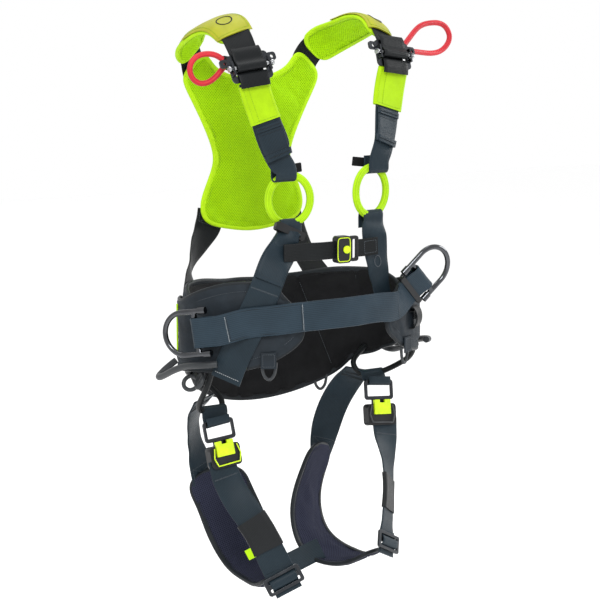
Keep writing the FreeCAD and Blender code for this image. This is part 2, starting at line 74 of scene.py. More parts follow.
# Half axes of the ellipses that the lumbar pad, the wings and the waist webbing follow.
LUMBAR_A, LUMBAR_B = 177.0, 115.0
WING_A, WING_B = 187.8, 125.8
OVER_A, OVER_B = 198.0, 136.5
# Textile loops: half axes and cord radius; the webbing's fold round them: radius and width.
RING_W, RING_H, RING_R = 31.0, 34.0, 5.5
FOLD_R, FOLD_W = 6.6, 34.0
# The left side hangs this much higher than the middle, and the right side this much lower.
UPPER_LIFT, LEG_LIFT, PAD_LIFT, HIP_LIFT = 6.0, 14.0, 7.0, 12.0
COVER_DROOP, COVER_POWER = 5.4, 3.5         # how the shoulder covers bend down at their edges
CLOTH_FRAMES = 20

# Stations of the straps and pads, and outlines. A belt's row is (turn, lowest z, highest z).
BACK_OUTLINE = [(0, 101), (38, 105), (68, 112), (83, 122), (88, 138), (84, 158), (73, 184),
                (66, 206), (69, 228), (81, 257), (98, 290), (112, 316), (115, 333), (104, 348),
                (89, 361), (77, 361), (66, 348), (50, 337), (24, 329), (0, 327)]
SHOULDER = [(103, 127, 364, -9, -38, 50), (114, 113, 377, -2, -36, 58), (123, 84, 390, 6, -30, 62),
            (126, 50, 401, 14, -26, 61), (125, 17, 408, 20, -20, 58), (123, -9, 403, 25, -12, 53),
            (121, -26, 388, 24, -4, 50)]
STRAP_BACK = [(82, 138.4, 312, 0, -38), (92, 138.6, 336, -2, -38), (97, 137.6, 350, -5, -38)]
STRAP_FRONT = [(121, -46, 374, 14, 0), (119.5, -56, 357, 8, 0), (118, -61, 343, 4, 0)]
FRONT_STRAP = [(118, -63, 340, 4, 0), (113, -64, 322, 4, 0), (102, -71, 284, 8, 0),
               (92, -80, 246, 14, 0, 42), (85, -84, 226, 6, 0, 36)]
RING = (69, -79, 171, 12)
PARK_LOOP = {
    "left": [(150, -40, 374), (165, -36, 386), (185, -32, 402), (212, -28, 408), (238, -26, 402),
             (246, -26, 386), (236, -27, 371), (210, -31, 364), (184, -36, 366), (162, -42, 368),
             (150, -43, 369)],
    "right": [(-150, -38, 362), (-159, -34, 368), (-172, -30, 370), (-186, -27, 366),
              (-195, -26, 354), (-193, -26, 340), (-183, -28, 331), (-172, -31, 331),
              (-162, -36, 338), (-155, -40, 347), (-149, -42, 355)],
}
LOWER = {
    "left": [(66, -91, 122, 2, 0, 38), (67, -94, 94, 4, 0, 42), (71, -96, 62, 8, 0, 38),
             (76, -97, 34, 12, 0, 34), (83, -98, 6, 16, 0, 38)],
    "right": [(-75, -89, 126, -3, 0, 34), (-84, -93, 112, -6, 0, 40), (-105, -100, 86, -12, 0),
              (-121, -102.8, 56, -22, 0), (-132, -96.4, 26, -32, 0), (-145, -86.8, -10, -38, 0),
              (-157.5, -76.2, -44, -45, 0), (-166.5, -67, -78, -51, 0)],
}
BACK_STRAP = {
    "left": [(66, 138, 136, 0, 0), (71, 137, 112, 0, 0), (81, 134, 84, -4, 0, 40),
             (91, 124, 56, -14, 0, 36), (101, 103.9, 26, -23.5, 0, 40), (110, 97.4, -4, -26.5, 0)],
    "right": [(-68, 138, 136, 0, 0), (-73, 137, 112, 0, 0), (-92, 134, 84, 20, 0, 40),
              (-113, 120, 58, 54, 0, 35), (-129.3, 90.4, 30, 35, 0, 38),
              (-144, 80.2, -4, 38.5, 0, 42)],
}
WING_EDGES = [(24, 2, 30), (26, -18, 42), (30, -36, 51), (37, -50, 58), (50, -62, 60),
              (64, -68, 52), (80, -71, 38), (95, -74, 27), (110, -78, 24), (122, -82, 24)]
LUMBAR_EDGES = [(84, -72, -8), (90, -78, 8), (98, -82, 24), (108, -86, 37), (120, -91, 41),
                (134, -100, 42), (146, -122, 40), (162, -145, 35), (180, -154, 31)]
WAIST_TURNS = [(-49, 3), (-38, 7), (-24, 11), (-10, 13), (4, 14), (16, 14), (27, 14)]
D_BAR = {"right": (-200, -46, -11), "left": (133, -116, 49)}
D_AXIS = {"right": (-0.50, 0.85, -0.15), "left": (0.71, -0.12, 0.69)}
D_ACROSS = {"right": (-0.08, 0.13, 0.988), "left": (-0.68, -0.14, 0.68)}
GEAR_LOOP = [(179, -66, -54), (192, -54, -56), (202, -20, -62), (206, 14, -74), (206, 40, -85),
             (204, 55, -89), (197, 63, -87), (186, 62, -78), (176, 55, -68)]
HIP = (138, 18, -127)
HIP_LOOP = [(173, -46, -58), (176, -34, -84), (173, -8, -108), (162, 11, -122),
            (149, 17.5, -126.6), (138, 18, -127), (128, 18.5, -126.8), (119, 23, -122),
            (118, 34, -111), (132, 46, -98), (152, 53, -84)]
LEG_FRONT = [(142, -13, -190, 0, 0), (139, -20, -212, 6, 0), (130, -38, -245, 32, 0, 43),
             (113, -66, -286, 42, 0, 42), (98, -84, -330, 34, 0), (89, -94, -356, 26, 0)]
LEG_PAD = [(99, 86, -236, 32, -6, 52), (94, 87, -248, 32, -8, 76), (81, 87, -276, 32, -10, 88),
           (65, 81, -318, 30, -8, 90), (57, 60, -356, 26, -4, 86), (58, 28, -380, 18, 2, 80),
           (64, -12, -387, 10, 4, 72), (73, -48, -382, 6, 4, 60), (82, -78, -364, 10, 4, 48)]
RISER = [(134, 44, -118, -24, 0), (132, 73, -144, -36, 0), (124, 97, -182, -40, 0),
         (113, 103, -220, -20, 0), (101, 99, -258, 14, 0)]
SUBPELVIC = [(-50, 18, -392, 90, 50, 30), (-28, 14, -389, 90, 56, 32), (0, 8, -380, 90, 60, 32),
             (22, 3, -371, 90, 62, 32), (38, 1, -366, 90, 62, 32)]
BUCKLE = (139, -2, -150)
CHEST_X, CHEST_Y, CHEST_Z = 3.0, -103.0, 97.0


# ---------------------------------------------------------------- curves and bands
def unit(rows):
    return rows / np.maximum(np.linalg.norm(rows, axis=-1, keepdims=True), 1e-12)


def square_to(rows, axes):
    """Each row's direction, turned square to its axis."""
    return unit(rows - axes * np.sum(rows * axes, 1, keepdims=True))


def full_turn(count):
    return np.linspace(0, 2 * np.pi, count, endpoint=False)


def half_turn():
    """Cosine and sine at every 30 degrees of a half turn."""
    return [(math.cos(t), math.sin(t)) for t in map(math.radians, range(0, 181, 30))]


def angles(across):
    """Yaw and pitch of a direction, in degrees, as a station has them."""
    return math.degrees(math.atan2(across[1], across[0])), math.degrees(math.asin(across[2]))


def distances(points):
    """Running length along a line of points."""
    steps = np.linalg.norm(np.diff(points, axis=0), axis=1)
    return np.concatenate(([0.0], np.cumsum(steps)))


def looped(rows):
    return np.concatenate((rows, rows[:1]))


def tangents(loop):
    return unit(np.roll(loop, -1, 0) - np.roll(loop, 1, 0))


def cubic(values, knots, at, slope=False):
    """Natural cubic spline through the values, or its slope."""
    values, at = np.asarray(values, float), np.asarray(at, float)
    n, h = len(knots), np.diff(knots)
    left, right = np.eye(n), np.zeros((n,) + values.shape[1:])
    for i in range(1, n - 1):
        left[i, i - 1:i + 2] = h[i - 1], 2 * (h[i - 1] + h[i]), h[i]
        after, before = (values[i + 1] - values[i]) / h[i], (values[i] - values[i - 1]) / h[i - 1]
        right[i] = 6 * (after - before)
    bend = np.linalg.solve(left, right)
    k = np.clip(np.searchsorted(knots, at, side="right") - 1, 0, n - 2)
    step, x = h[k][:, None], (at - knots[k])[:, None]
    chord = (values[k + 1] - values[k]) / step
    first = chord - step * (2 * bend[k] + bend[k + 1]) / 6
    third = (bend[k + 1] - bend[k]) / step
    if slope:
        return first + x * bend[k] + x ** 2 * third / 2
    return values[k] + x * first + x ** 2 * bend[k] / 2 + x ** 3 * third / 6


class Band:
    """A strap or pad along its stations, in millimetres."""

    def __init__(self, stations, width=WEB):
        self.middle = np.array([s[:3] for s in stations], float)
        self.knots = distances(self.middle)
        self.length = self.knots[-1]
        along = unit(cubic(self.middle, self.knots, self.knots, True))
        yaw, pitch = np.radians([s[3:5] for s in stations]).T
        across = np.stack([np.cos(yaw) * np.cos(pitch), np.sin(yaw) * np.cos(pitch),
                           np.sin(pitch)], 1)
        across = square_to(across, along)
        self.normal = unit(np.cross(along, across))
        half = np.array([0.5 * (s[5] if len(s) > 5 else width) for s in stations])
        self.side = across * half[:, None]

    def rows(self, u):
        """Centre, direction across, outward normal and half width at distances u."""
        side = cubic(self.side, self.knots, u)
        half = np.linalg.norm(side, axis=1)
        normal = cubic(self.normal, self.knots, u)
        across = unit(side)
        normal = square_to(normal, across)
        return cubic(self.middle, self.knots, u), across, normal, half

    def spot(self, u):
        """The same at one distance."""
        return [row[0] for row in self.rows(np.array([u]))]

    def line(self, u0, share0, u1, share1, lift):
        """Points and normals of a straight seam on the band."""
        count = max(2, int(abs(u1 - u0) / 3) + int(abs(share1 - share0) * 8) + 2)
        u = np.linspace(u0, u1, count)
        share = np.linspace(share0, share1, count)
        c, across, normal, half = self.rows(u)
        points = c + across * (half * share)[:, None] + normal * lift
        return points, normal * (1 if lift >= 0 else -1)

    def part(self, start, stop, count=6, offset=0.0, grow=0.0):
        """The band between two fractions of its length."""
        u = np.linspace(start, stop, count) * self.length
        c, across, normal, half = self.rows(u)
        out = Band.__new__(Band)
        out.middle = c + normal * offset
        out.knots = distances(out.middle)
        out.length, out.normal = out.knots[-1], normal
        out.side = across * (half + grow / 2)[:, None]
        return out


def mirrored(stations):
    return [(-s[0], s[1], s[2], -s[3], -s[4]) + tuple(s[5:]) for s in stations]


def sided(stations, side, lift=0.0):
    rows = stations if side == "left" else mirrored(stations)
    return [(s[0], s[1], s[2] + SIDES[side] * lift) + tuple(s[3:]) for s in rows]


def ellipse(a, b, turn, z):
    t = math.radians(turn)
    return a * math.sin(t), -b * math.cos(t), z


def belt(a, b, edges):
    return [ellipse(a, b, t, 0.5 * (lo + hi)) + (0, 90, hi - lo) for t, lo, hi in edges]


# ---------------------------------------------------------------- meshes
def build(name, verts, faces, uvs, materials, body, slot, replaced=(), groups=None, sharp=40):
    """One smooth-shaded piece; verts and uvs in millimetres. With no body it is left unattached.

    A piece that is named after a CAD node stands for that node.
    """
    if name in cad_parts:
        replaced, name = [name], name + "_soft"
    mesh = bpy.data.meshes.new(name)
    mesh.from_pydata((np.asarray(verts) * MM).tolist(), [], faces)
    if uvs is not None:
        layer = mesh.uv_layers.new(name="weave")
        layer.data.foreach_set("uv", (np.asarray(uvs, float) * MM).astype(np.float32).ravel())
    for m in materials if isinstance(materials, (list, tuple)) else [materials]:
        mesh.materials.append(m)
    if groups is not None:
        mesh.polygons.foreach_set("material_index", groups)
    mesh.update()
    mesh.shade_smooth()
    mesh.set_sharp_from_angle(angle=math.radians(sharp))
    piece = bpy.data.objects.new(name, mesh)
    bpy.context.scene.collection.objects.link(piece)
    if body:
        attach(piece, body)
    if replaced:
        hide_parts(*replaced)
    return piece


def once(node, side, index=0):
    """The CAD node that the first left piece stands for; the other pieces stand for none."""
    return [node] * (side == "left" and not index)


def sweep(points, across, normal, profile, closed=False):
    """Rings of a profile of (across, up) pairs carried along points: vertices, faces, uvs."""
    points, profile = np.asarray(points, float), np.asarray(profile, float)
    n = len(points)
    if profile.ndim == 2:
        profile = np.broadcast_to(profile, (n,) + profile.shape)
    k = profile.shape[1]
    verts = (points[:, None] + across[:, None] * profile[..., :1]
             + normal[:, None] * profile[..., 1:])
    along = distances(looped(points))
    wide = np.concatenate((profile[..., 0], profile[:, :1, 0]), axis=1)
    faces, uvs = [], []
    for i in range(n if closed else n - 1):
        for j in range(k):
            a, b, c, d = i, (i + 1) % n, (j + 1) % k, j
            faces.append((a * k + d, b * k + d, b * k + c, a * k + c))
            uvs += [(wide[a, j], along[i]), (wide[b, j], along[i + 1]),
                    (wide[b, j + 1], along[i + 1]), (wide[a, j + 1], along[i])]
    if not closed:
        for i, order in ((0, 1), (n - 1, -1)):
            ring = list(range(i * k, i * k + k))[::order]
            faces.append(tuple(ring))
            uvs += [(wide[i, r - i * k], along[i]) for r in ring]
    return verts.reshape(-1, 3), faces, uvs


def flat_profile(half, thick, rib=0.0):
    """Webbing section: flat faces, rounded selvedges, optionally a little thicker at them."""
    half = np.atleast_1d(half)[:, None]
    r = thick / 2
    turn = np.radians(np.linspace(90, -90, 6))[1:-1]
    share = np.linspace(-1, 1, 9)
    swell = 1 + rib * np.exp(-((1 - abs(share)) * 9) ** 2)
    top_x, edge_x = (half - r) * share, half - r + r * np.cos(turn)
    top_y, edge_y = (np.broadcast_to(r * row, (len(half), len(row)))
                     for row in (swell, np.sin(turn)))
    return np.stack((np.concatenate((top_x, edge_x, -top_x, -edge_x), 1),
                     np.concatenate((top_y, edge_y, -top_y, -edge_y), 1)), 2)


def strap(name, band, thick, material, slot, replaced=(), body="harness", step=3.0, rib=0.12,
          hem=0.0, wave=0.0):
    """A length of webbing; hem is the length of a folded, thicker end, wave a slight ripple."""
    u = np.linspace(0, band.length, max(4, int(band.length / step)))
    c, across, normal, half = band.rows(u)
    profile = flat_profile(half, thick, rib)
    if hem:
        swell = 1 + 0.9 / (1 + np.exp(-(u - (band.length - hem)) * 1.5))
        profile[..., 1] *= swell[:, None]
    if wave:
        fade = np.clip(np.minimum(u, band.length - u) / 30, 0, 1)
        swing = np.sin(u / 8.3 + 1.1 * len(name)) + 0.6 * np.sin(u / 4.9 + 2.0)
        share = profile[..., 0] / half[:, None]
        profile[..., 1] += wave * (fade * swing)[:, None] * share * abs(share)
    return build(name, *sweep(c, across, normal, profile), material, body, slot, replaced)


def round_profile(radius, count=14, flat=1.0):
    turn = full_turn(count)
    return np.stack((radius * np.cos(turn), radius * flat * np.sin(turn)), 1)


def path_frames(points):
    """Directions across and normal, carried along a curve without twisting."""
    along = unit(np.gradient(points, axis=0))
    normal = np.zeros_like(points)
    seed = np.array([0.0, 0.0, 1.0]) if abs(along[0, 2]) < 0.9 else np.array([0.0, 1.0, 0.0])
    normal[0] = unit(seed - along[0] * seed.dot(along[0]))
    for i in range(1, len(points)):
        n = normal[i - 1] - along[i] * normal[i - 1].dot(along[i])
        normal[i] = n / np.linalg.norm(n)
    return np.cross(along, normal), normal


def tube(name, points, radius, material, slot, replaced=(), step=3.0):
    """A round cord through the points."""
    points = np.array(points, float)
    knots = distances(points)
    line = cubic(points, knots, np.linspace(0, knots[-1], max(6, int(knots[-1] / step))))
    data = sweep(line, *path_frames(line), round_profile(radius, 16))
    return build(name, *data, material, "harness", slot, replaced)


def loop(name, line, up, profile, *rest):
    """A profile swept once round a closed line; up is the direction out of its plane."""
    return build(name, *sweep(line, np.cross(tangents(line), up), up, profile, True), *rest)


def printed_ring(name, band, at, reach, radius, lift, profile, count, *rest):
    """A printed ring on webbing, as a thin raised line."""
    turn = full_turn(count)
    c, across, normal, half = band.rows(at + reach * np.sin(turn))
    line = c + across * (radius * np.cos(turn))[:, None] + normal * lift
    return build(name, *sweep(line, np.cross(normal, tangents(line)), normal, profile, True),
                 *rest)


# One stitch: four rings of six points, thin at its ends, and the faces between them.
STITCH = np.array([(x, 0.5 * s * math.cos(t), 0.5 * s * math.sin(t))
                   for x, s in ((-0.5, 0.45), (-0.3, 1.0), (0.3, 1.0), (0.5, 0.45))
                   for t in full_turn(6)])
STITCH_FACES = [(r * 6 + j, r * 6 + (j + 1) % 6, r * 6 + 6 + (j + 1) % 6, r * 6 + 6 + j)
                for r in range(3) for j in range(6)]
STITCH_FACES += [tuple(range(5, -1, -1)), tuple(range(18, 24))]
STITCH_PITCH, THREAD = 3.0, 0.75


def stitching(name, lines, material, slot, body="harness"):
    """Rows of thread laid on surfaces: every line is (points, normals)."""
    verts, faces = [], []
    for points, normals in lines:
        along = distances(points)
        count = max(1, int(round(along[-1] / STITCH_PITCH)))
        size = along[-1] / count
        for i in range(count):
            ends = [np.array([np.interp((i + f) * size, along, points[:, a]) for a in range(3)])
                    for f in (0.14, 0.86)]
            up = np.array([np.interp((i + 0.5) * size, along, normals[:, a]) for a in range(3)])
            x = ends[1] - ends[0]
            y = unit(np.cross(up, unit(x)))
            z = np.cross(unit(x), y)
            base = len(verts) * len(STITCH)
            verts.append(0.5 * (ends[0] + ends[1]) + STITCH[:, :1] * x
                         + STITCH[:, 1:2] * y * THREAD + STITCH[:, 2:] * z * THREAD)
            faces += [tuple(base + v for v in f) for f in STITCH_FACES]
    return build(name, np.concatenate(verts), faces, None, material, body, slot, sharp=80)


def tack(band, u, lift, length=5.0, inset=3.0, gap=1.2):
    """Bartack across a band: short threads side by side."""
    half = band.spot(u)[3]
    count = int(2 * (half - inset) / gap)
    shares = np.linspace(-1, 1, count) * (half - inset) / half
    return [band.line(u - length / 2, s, u + length / 2, s, lift) for s in shares]


def seam_box(band, u0, u1, lift, inset=3.5, cross=False):
    """Rectangle of stitching on a band, with a cross inside if asked."""
    half = band.spot((u0 + u1) / 2)[3]
    s = (half - inset) / half
    lines = [band.line(u0, -s, u1, -s, lift), band.line(u0, s, u1, s, lift),
             band.line(u0, -s, u0, s, lift), band.line(u1, -s, u1, s, lift)]
    if cross:
        lines += [band.line(u0, -s, u1, s, lift), band.line(u0, s, u1, -s, lift)]
    return lines


# ---------------------------------------------------------------- padded panels
def coordinates(mesh):
    flat = np.empty(len(mesh.vertices) * 3, np.float32)
    mesh.vertices.foreach_get("co", flat)
    return flat.reshape(-1, 3)


def inflate(piece, held, cap, slack=0.025):
    """Swells a padded piece between its held vertices with a short cloth simulation.

    No vertex moves further than cap, in millimetres.
    """
    scene = bpy.context.scene
    group = piece.vertex_groups.new(name="held")
    group.add([int(i) for i in held], 1.0, "REPLACE")
    mesh = piece.data
    start = coordinates(mesh)
    cloth = piece.modifiers.new("Cloth", "CLOTH")
    for key, value in (("quality", 4), ("mass", 0.2), ("tension_stiffness", 20),
                       ("compression_stiffness", 20), ("shear_stiffness", 8),
                       ("bending_stiffness", 0.4), ("vertex_group_mass", "held"),
                       ("use_pressure", True), ("uniform_pressure_force", 3.0),
                       ("shrink_min", -slack)):
        setattr(cloth.settings, key, value)
    cloth.settings.effector_weights.gravity = 0
    cloth.collision_settings.use_collision = False
    cloth.point_cache.frame_start, cloth.point_cache.frame_end = 1, CLOTH_FRAMES
    for f in range(1, CLOTH_FRAMES + 1):
        scene.frame_set(f)
    shaped = piece.evaluated_get(bpy.context.evaluated_depsgraph_get())
    move = coordinates(shaped.data) - start
    size = np.linalg.norm(move, axis=1, keepdims=True)
    limit = cap * MM
    move *= limit * np.tanh(size / limit) / np.maximum(size, 1e-9)
    piece.modifiers.remove(cloth)
    mesh.vertices.foreach_set("co", (start + move).ravel())
    mesh.update()
    scene.frame_set(1)


def panel(name, band, thick, skin, slot, replaced, corner, crown, rows=(), insets=(), step=5.0,
          cap=2.5):
    """Padded panel of two skins that meet at a bound edge, sewn down along rows and insets.

    skin is the materials of its outer and inner face, corner rounds its corners and crown is
    the reach over which it gains its thickness. The result is its rim and the normals there.
    """
    edge = 2.6
    n = max(6, int(band.length / step))
    u = np.linspace(0, band.length, n)
    c, across, normal, half = band.rows(u)
    for reach in (u, band.length - u):
        inside = np.clip(1 - reach / corner, 0, 1)
        half = half - corner * (1 - np.sqrt(1 - inside ** 2))
    m = max(7, int(2 * half.mean() / step))
    share = np.linspace(-1, 1, m)
    wide = half[:, None] * share
    to_side = half[:, None] * (1 - abs(share))
    to_end = np.minimum(u, band.length - u)[:, None]
    gap = np.minimum(to_side, to_end)
    high = edge / 2 + (thick - edge) / 2 * (1 - np.exp(-gap / crown))
    held = gap < 0.8 * step
    for at in rows:
        high = high * (1 - 0.72 * np.exp(-((u[:, None] - at) / 3.6) ** 2))
        held = held | (abs(u[:, None] - at) < 0.6 * step)
    for at in insets:
        high = high * (1 - 0.55 * np.exp(-((to_side - at) / 2.8) ** 2) * (to_end > at))
        held = held | ((abs(to_side - at) < 0.5 * step) & (to_end > at))
    verts = np.concatenate([(c[:, None] + across[:, None] * wide[..., None]
                             + normal[:, None] * (sign * high)[..., None]).reshape(-1, 3)
                            for sign in (1, -1)])
    faces, uvs, groups = [], [], []

    def at(skin, i, j):
        return skin * n * m + i * m + j

    def add(corners, group):
        faces.append(tuple(at(*q) for q in corners))
        uvs.extend((wide[q[1], q[2]], u[q[1]]) for q in corners)
        groups.append(group)

    for i in range(n - 1):
        for j in range(m - 1):
            add([(0, i, j + 1), (0, i + 1, j + 1), (0, i + 1, j), (0, i, j)], 0)
            add([(1, i + 1, j), (1, i + 1, j + 1), (1, i, j + 1), (1, i, j)], 1)
        for j, order in ((0, -1), (m - 1, 1)):
            add([(0, i, j), (0, i + 1, j), (1, i + 1, j), (1, i, j)][::order], 0)
    for j in range(m - 1):
        for i, order in ((0, 1), (n - 1, -1)):
            add([(0, i, j), (0, i, j + 1), (1, i, j + 1), (1, i, j)][::order], 0)
    piece = build(name, verts, faces, uvs, skin, "harness", slot, replaced, groups, 70)
    inflate(piece, np.flatnonzero(np.tile(held.ravel(), 2)), cap)
    rim = ([(i, m - 1) for i in range(n)] + [(n - 1, j) for j in range(m - 2, 0, -1)]
           + [(i, 0) for i in range(n - 1, -1, -1)] + [(0, j) for j in range(1, m - 1)])
    i, j = np.array(rim).T
    return c[i] + across[i] * wide[i, j][:, None], normal[i]


def binding(name, rim, normals, material, slot, deep, high, proud=1.2):
    """Tape folded over the edge of a panel: its line, the way out and the way up along it."""
    along = distances(looped(rim))
    u = np.linspace(0, along[-1], int(along[-1] / 4), endpoint=False)
    line, up = (np.stack([np.interp(u, along, looped(rows)[:, a]) for a in range(3)], 1)
                for rows in (rim, normals))
    for _ in range(2):
        line = (np.roll(line, 1, 0) + 2 * line + np.roll(line, -1, 0)) / 4
    tangent = tangents(line)
    up = square_to(up, tangent)
    out = np.cross(tangent, up)
    if np.sum(out * (line - line.mean(0))) < 0:
        out = -out
    section = [(-deep, high * 0.72), (-deep * 0.5, high), (-0.5, high), (proud * 0.7, high * 0.6),
               (proud, 0.0), (proud * 0.7, -high * 0.6), (-0.5, -high), (-deep * 0.5, -high),
               (-deep, -high * 0.72), (-deep + 0.6, 0.0)]
    build(name, *sweep(line, out, up, section, True), material, "harness", slot, sharp=60)
    return line, out, up


def edge_lines(rim, inset, lift):
    """A seam that follows a panel's binding, as one closed line on each face."""
    line, out, up = rim
    return [(looped(line - out * inset + up * (lift * sign)), looped(up) * sign)
            for sign in (1, -1)]


# ---------------------------------------------------------------- materials
class Shade:
    """A procedural material built up with a few short calls."""

    def __init__(self, name, rough=0.7, metal=0.0, gloss=0.5, coat=0.0):
        self.material = bpy.data.materials.new(name)
        self.material.use_nodes = True
        self.tree = self.material.node_tree
        self.shader = self.tree.nodes["Principled BSDF"]
        for key, value in (("Roughness", rough), ("Metallic", metal), ("Coat Weight", coat),
                           ("Specular IOR Level", gloss)):
            self.shader.inputs[key].default_value = value

    def node(self, kind):
        return self.tree.nodes.new("ShaderNode" + kind)

    def put(self, socket, value):
        if isinstance(value, bpy.types.NodeSocket):
            self.tree.links.new(value, socket)
        else:
            socket.default_value = value

    def times(self, a, b):
        return self.calc("MULTIPLY", a, b)

    def plus(self, a, b):
        return self.calc("ADD", a, b)

    def calc(self, operation, *values):
        node = self.node("Math")
        node.operation = operation
        for i, value in enumerate(values):
            self.put(node.inputs[i], value)
        return node.outputs[0]

    def uv(self):
        node = self.node("UVMap")
        node.uv_map = "weave"
        split = self.node("SeparateXYZ")
        self.put(split.inputs[0], node.outputs[0])
        return split.outputs[0], split.outputs[1]

    def flat(self):
        """Object x and z, for a piece that faces the front."""
        node = self.node("TexCoord")
        split = self.node("SeparateXYZ")
        self.put(split.inputs[0], node.outputs["Object"])
        return split.outputs[0], split.outputs[2]

    def noise(self, scale, detail=3.0):
        where = self.node("TexCoord")
        node = self.node("TexNoise")
        self.put(node.inputs["Vector"], where.outputs["Object"])
        node.inputs["Scale"].default_value = scale
        node.inputs["Detail"].default_value = detail
        return node.outputs["Fac"]

    def ramp(self, value, low, high):
        """Black below low, white above high."""
        node = self.node("ValToRGB")
        node.color_ramp.elements[0].position, node.color_ramp.elements[1].position = low, high
        self.put(node.inputs[0], value)
        return node.outputs[0]

    def mix(self, share, a, b):
        node = self.node("Mix")
        node.data_type = "RGBA"
        self.put(node.inputs[0], share)
        self.put(node.inputs[6], a)
        self.put(node.inputs[7], b)
        return node.outputs[2]

    def colour(self, value):
        self.put(self.shader.inputs["Base Color"], value)

    def bump(self, height, distance, strength=1.0):
        node = self.node("Bump")
        node.inputs["Strength"].default_value = strength
        node.inputs["Distance"].default_value = distance * MM
        self.put(node.inputs["Height"], height)
        self.put(self.shader.inputs["Normal"], node.outputs[0])

    def wave(self, value, pitch, phase=0.0, kind="SINE"):
        """A wave along value, in metres, with its pitch in millimetres."""
        return self.calc(kind, self.plus(self.times(value, 2 * math.pi / (pitch * MM)), phase))

    def patch(self, scale, low, high, a, b, detail=3.0):
        """Two colours, or values of one, in soft patches."""
        return self.mix(self.ramp(self.noise(scale, detail), low, high), a, b)


def rgba(r, g, b):
    return (r, g, b, 1.0)


def scaled(colour, k):
    return tuple(min(1.0, c * k) for c in colour[:3]) + (1.0,)


def webbing(name, colour, rib=2.1, pick=1.5, depth=0.22, light=1.7, gloss=0.14, rough=0.42):
    """Flat woven webbing: lengthwise ribs crossed by the weft, with painted shade in its grooves
    and a painted highlight on its raised ribs.
    """
    s = Shade(name, rough, gloss=gloss)
    x, y = s.uv()
    shift = s.times(s.wave(x, rib, 0, "COSINE"), 1.3)
    picks = s.wave(y, pick, shift)
    height = s.plus(s.times(s.wave(x, rib), 0.28), s.times(picks, 0.24))
    height = s.plus(height, 0.5)
    height = s.plus(height, s.times(s.noise(1400), 0.25))
    # Painted shade and highlight: the colour falls to 0.62 of itself where the weave sinks and
    # rises to light times itself where it stands up.
    base = s.mix(s.ramp(height, 0.2, 1.0), scaled(colour, 0.62), scaled(colour, light))
    s.colour(s.patch(26, 0.35, 0.75, base, s.mix(0.5, base, scaled(colour, light * 1.1))))
    s.bump(height, depth, 0.8)
    return s.material


def knit(name, colour, hole_shade, pitch=3.9, depth=0.5, planar=False, low=0.3, high=0.7, gloss=0.08):
    """Spacer mesh: a staggered lattice of small holes, filled with painted shade."""
    s = Shade(name, 0.85, gloss=gloss)
    x, y = s.flat() if planar else s.uv()
    dots = s.times(s.wave(x, pitch, 0, "COSINE"), s.wave(y, pitch * 1.15, 0, "COSINE"))
    mask = s.ramp(dots, low, high)
    fibre = s.noise(1800)
    shade = s.patch(20, 0.3, 0.7, scaled(colour, 0.88), scaled(colour, 1.08))
    shade = s.mix(s.times(fibre, 0.35), shade, scaled(colour, 0.7))
    # Painted shade: the holes, which the bump sinks, take the darker second colour.
    s.colour(s.mix(mask, shade, hole_shade))
    s.bump(s.calc("SUBTRACT", s.times(fibre, 0.3), s.times(mask, 1.0)), depth, 0.7)
    return s.material


def cloth(name, colour, pitch=0.9, depth=0.12, rough=0.7, gloss=0.12, crease_shading=0.16):
    """Plain woven or coated cloth with soft creases, with painted shade in the creases and a
    painted highlight on their crests.
    """
    s = Shade(name, rough, gloss=gloss)
    x, y = s.uv()
    grain = s.times(s.wave(x, pitch), s.wave(y, pitch))
    crease = s.noise(55, 5)
    height = s.plus(s.times(grain, 0.15), s.times(crease, 1.6))
    # Painted shade and highlight: the colour follows the creases' bump, darker where it sinks and
    # lighter where it rises.
    tone = s.mix(s.ramp(crease, 0.3, 0.72), scaled(colour, 1 - crease_shading),
                 scaled(colour, 1 + crease_shading))
    s.colour(s.mix(s.ramp(grain, 0.1, 0.9), tone, s.mix(0.5, tone, scaled(colour, 0.75))))
    s.bump(height, depth * 4, 0.5)
    return s.material


def moulded(name, colour, rough=0.42, grain=0.05, coat=0.0):
    """Plastic, rubber or thread, lightly worn."""
    s = Shade(name, rough, gloss=0.3, coat=coat)
    wear = s.noise(70, 4)
    s.colour(s.mix(s.ramp(wear, 0.35, 0.75), scaled(colour, 0.85), scaled(colour, 1.2)))
    s.put(s.shader.inputs["Roughness"], s.plus(s.times(wear, 0.22), rough - 0.1))
    s.bump(s.noise(2600, 2), grain, 0.6)
    return s.material


def metal(name, colour, rough):
    """Anodised or bare metal with a faint haze."""
    s = Shade(name, rough, metal=1.0)
    haze = s.noise(60, 4)
    s.colour(s.mix(s.ramp(haze, 0.3, 0.7), scaled(colour, 0.86), scaled(colour, 1.1)))
    s.put(s.shader.inputs["Roughness"], s.plus(s.times(haze, 0.25), rough - 0.1))
    s.bump(s.noise(2200, 2), 0.02, 0.5)
    return s.material


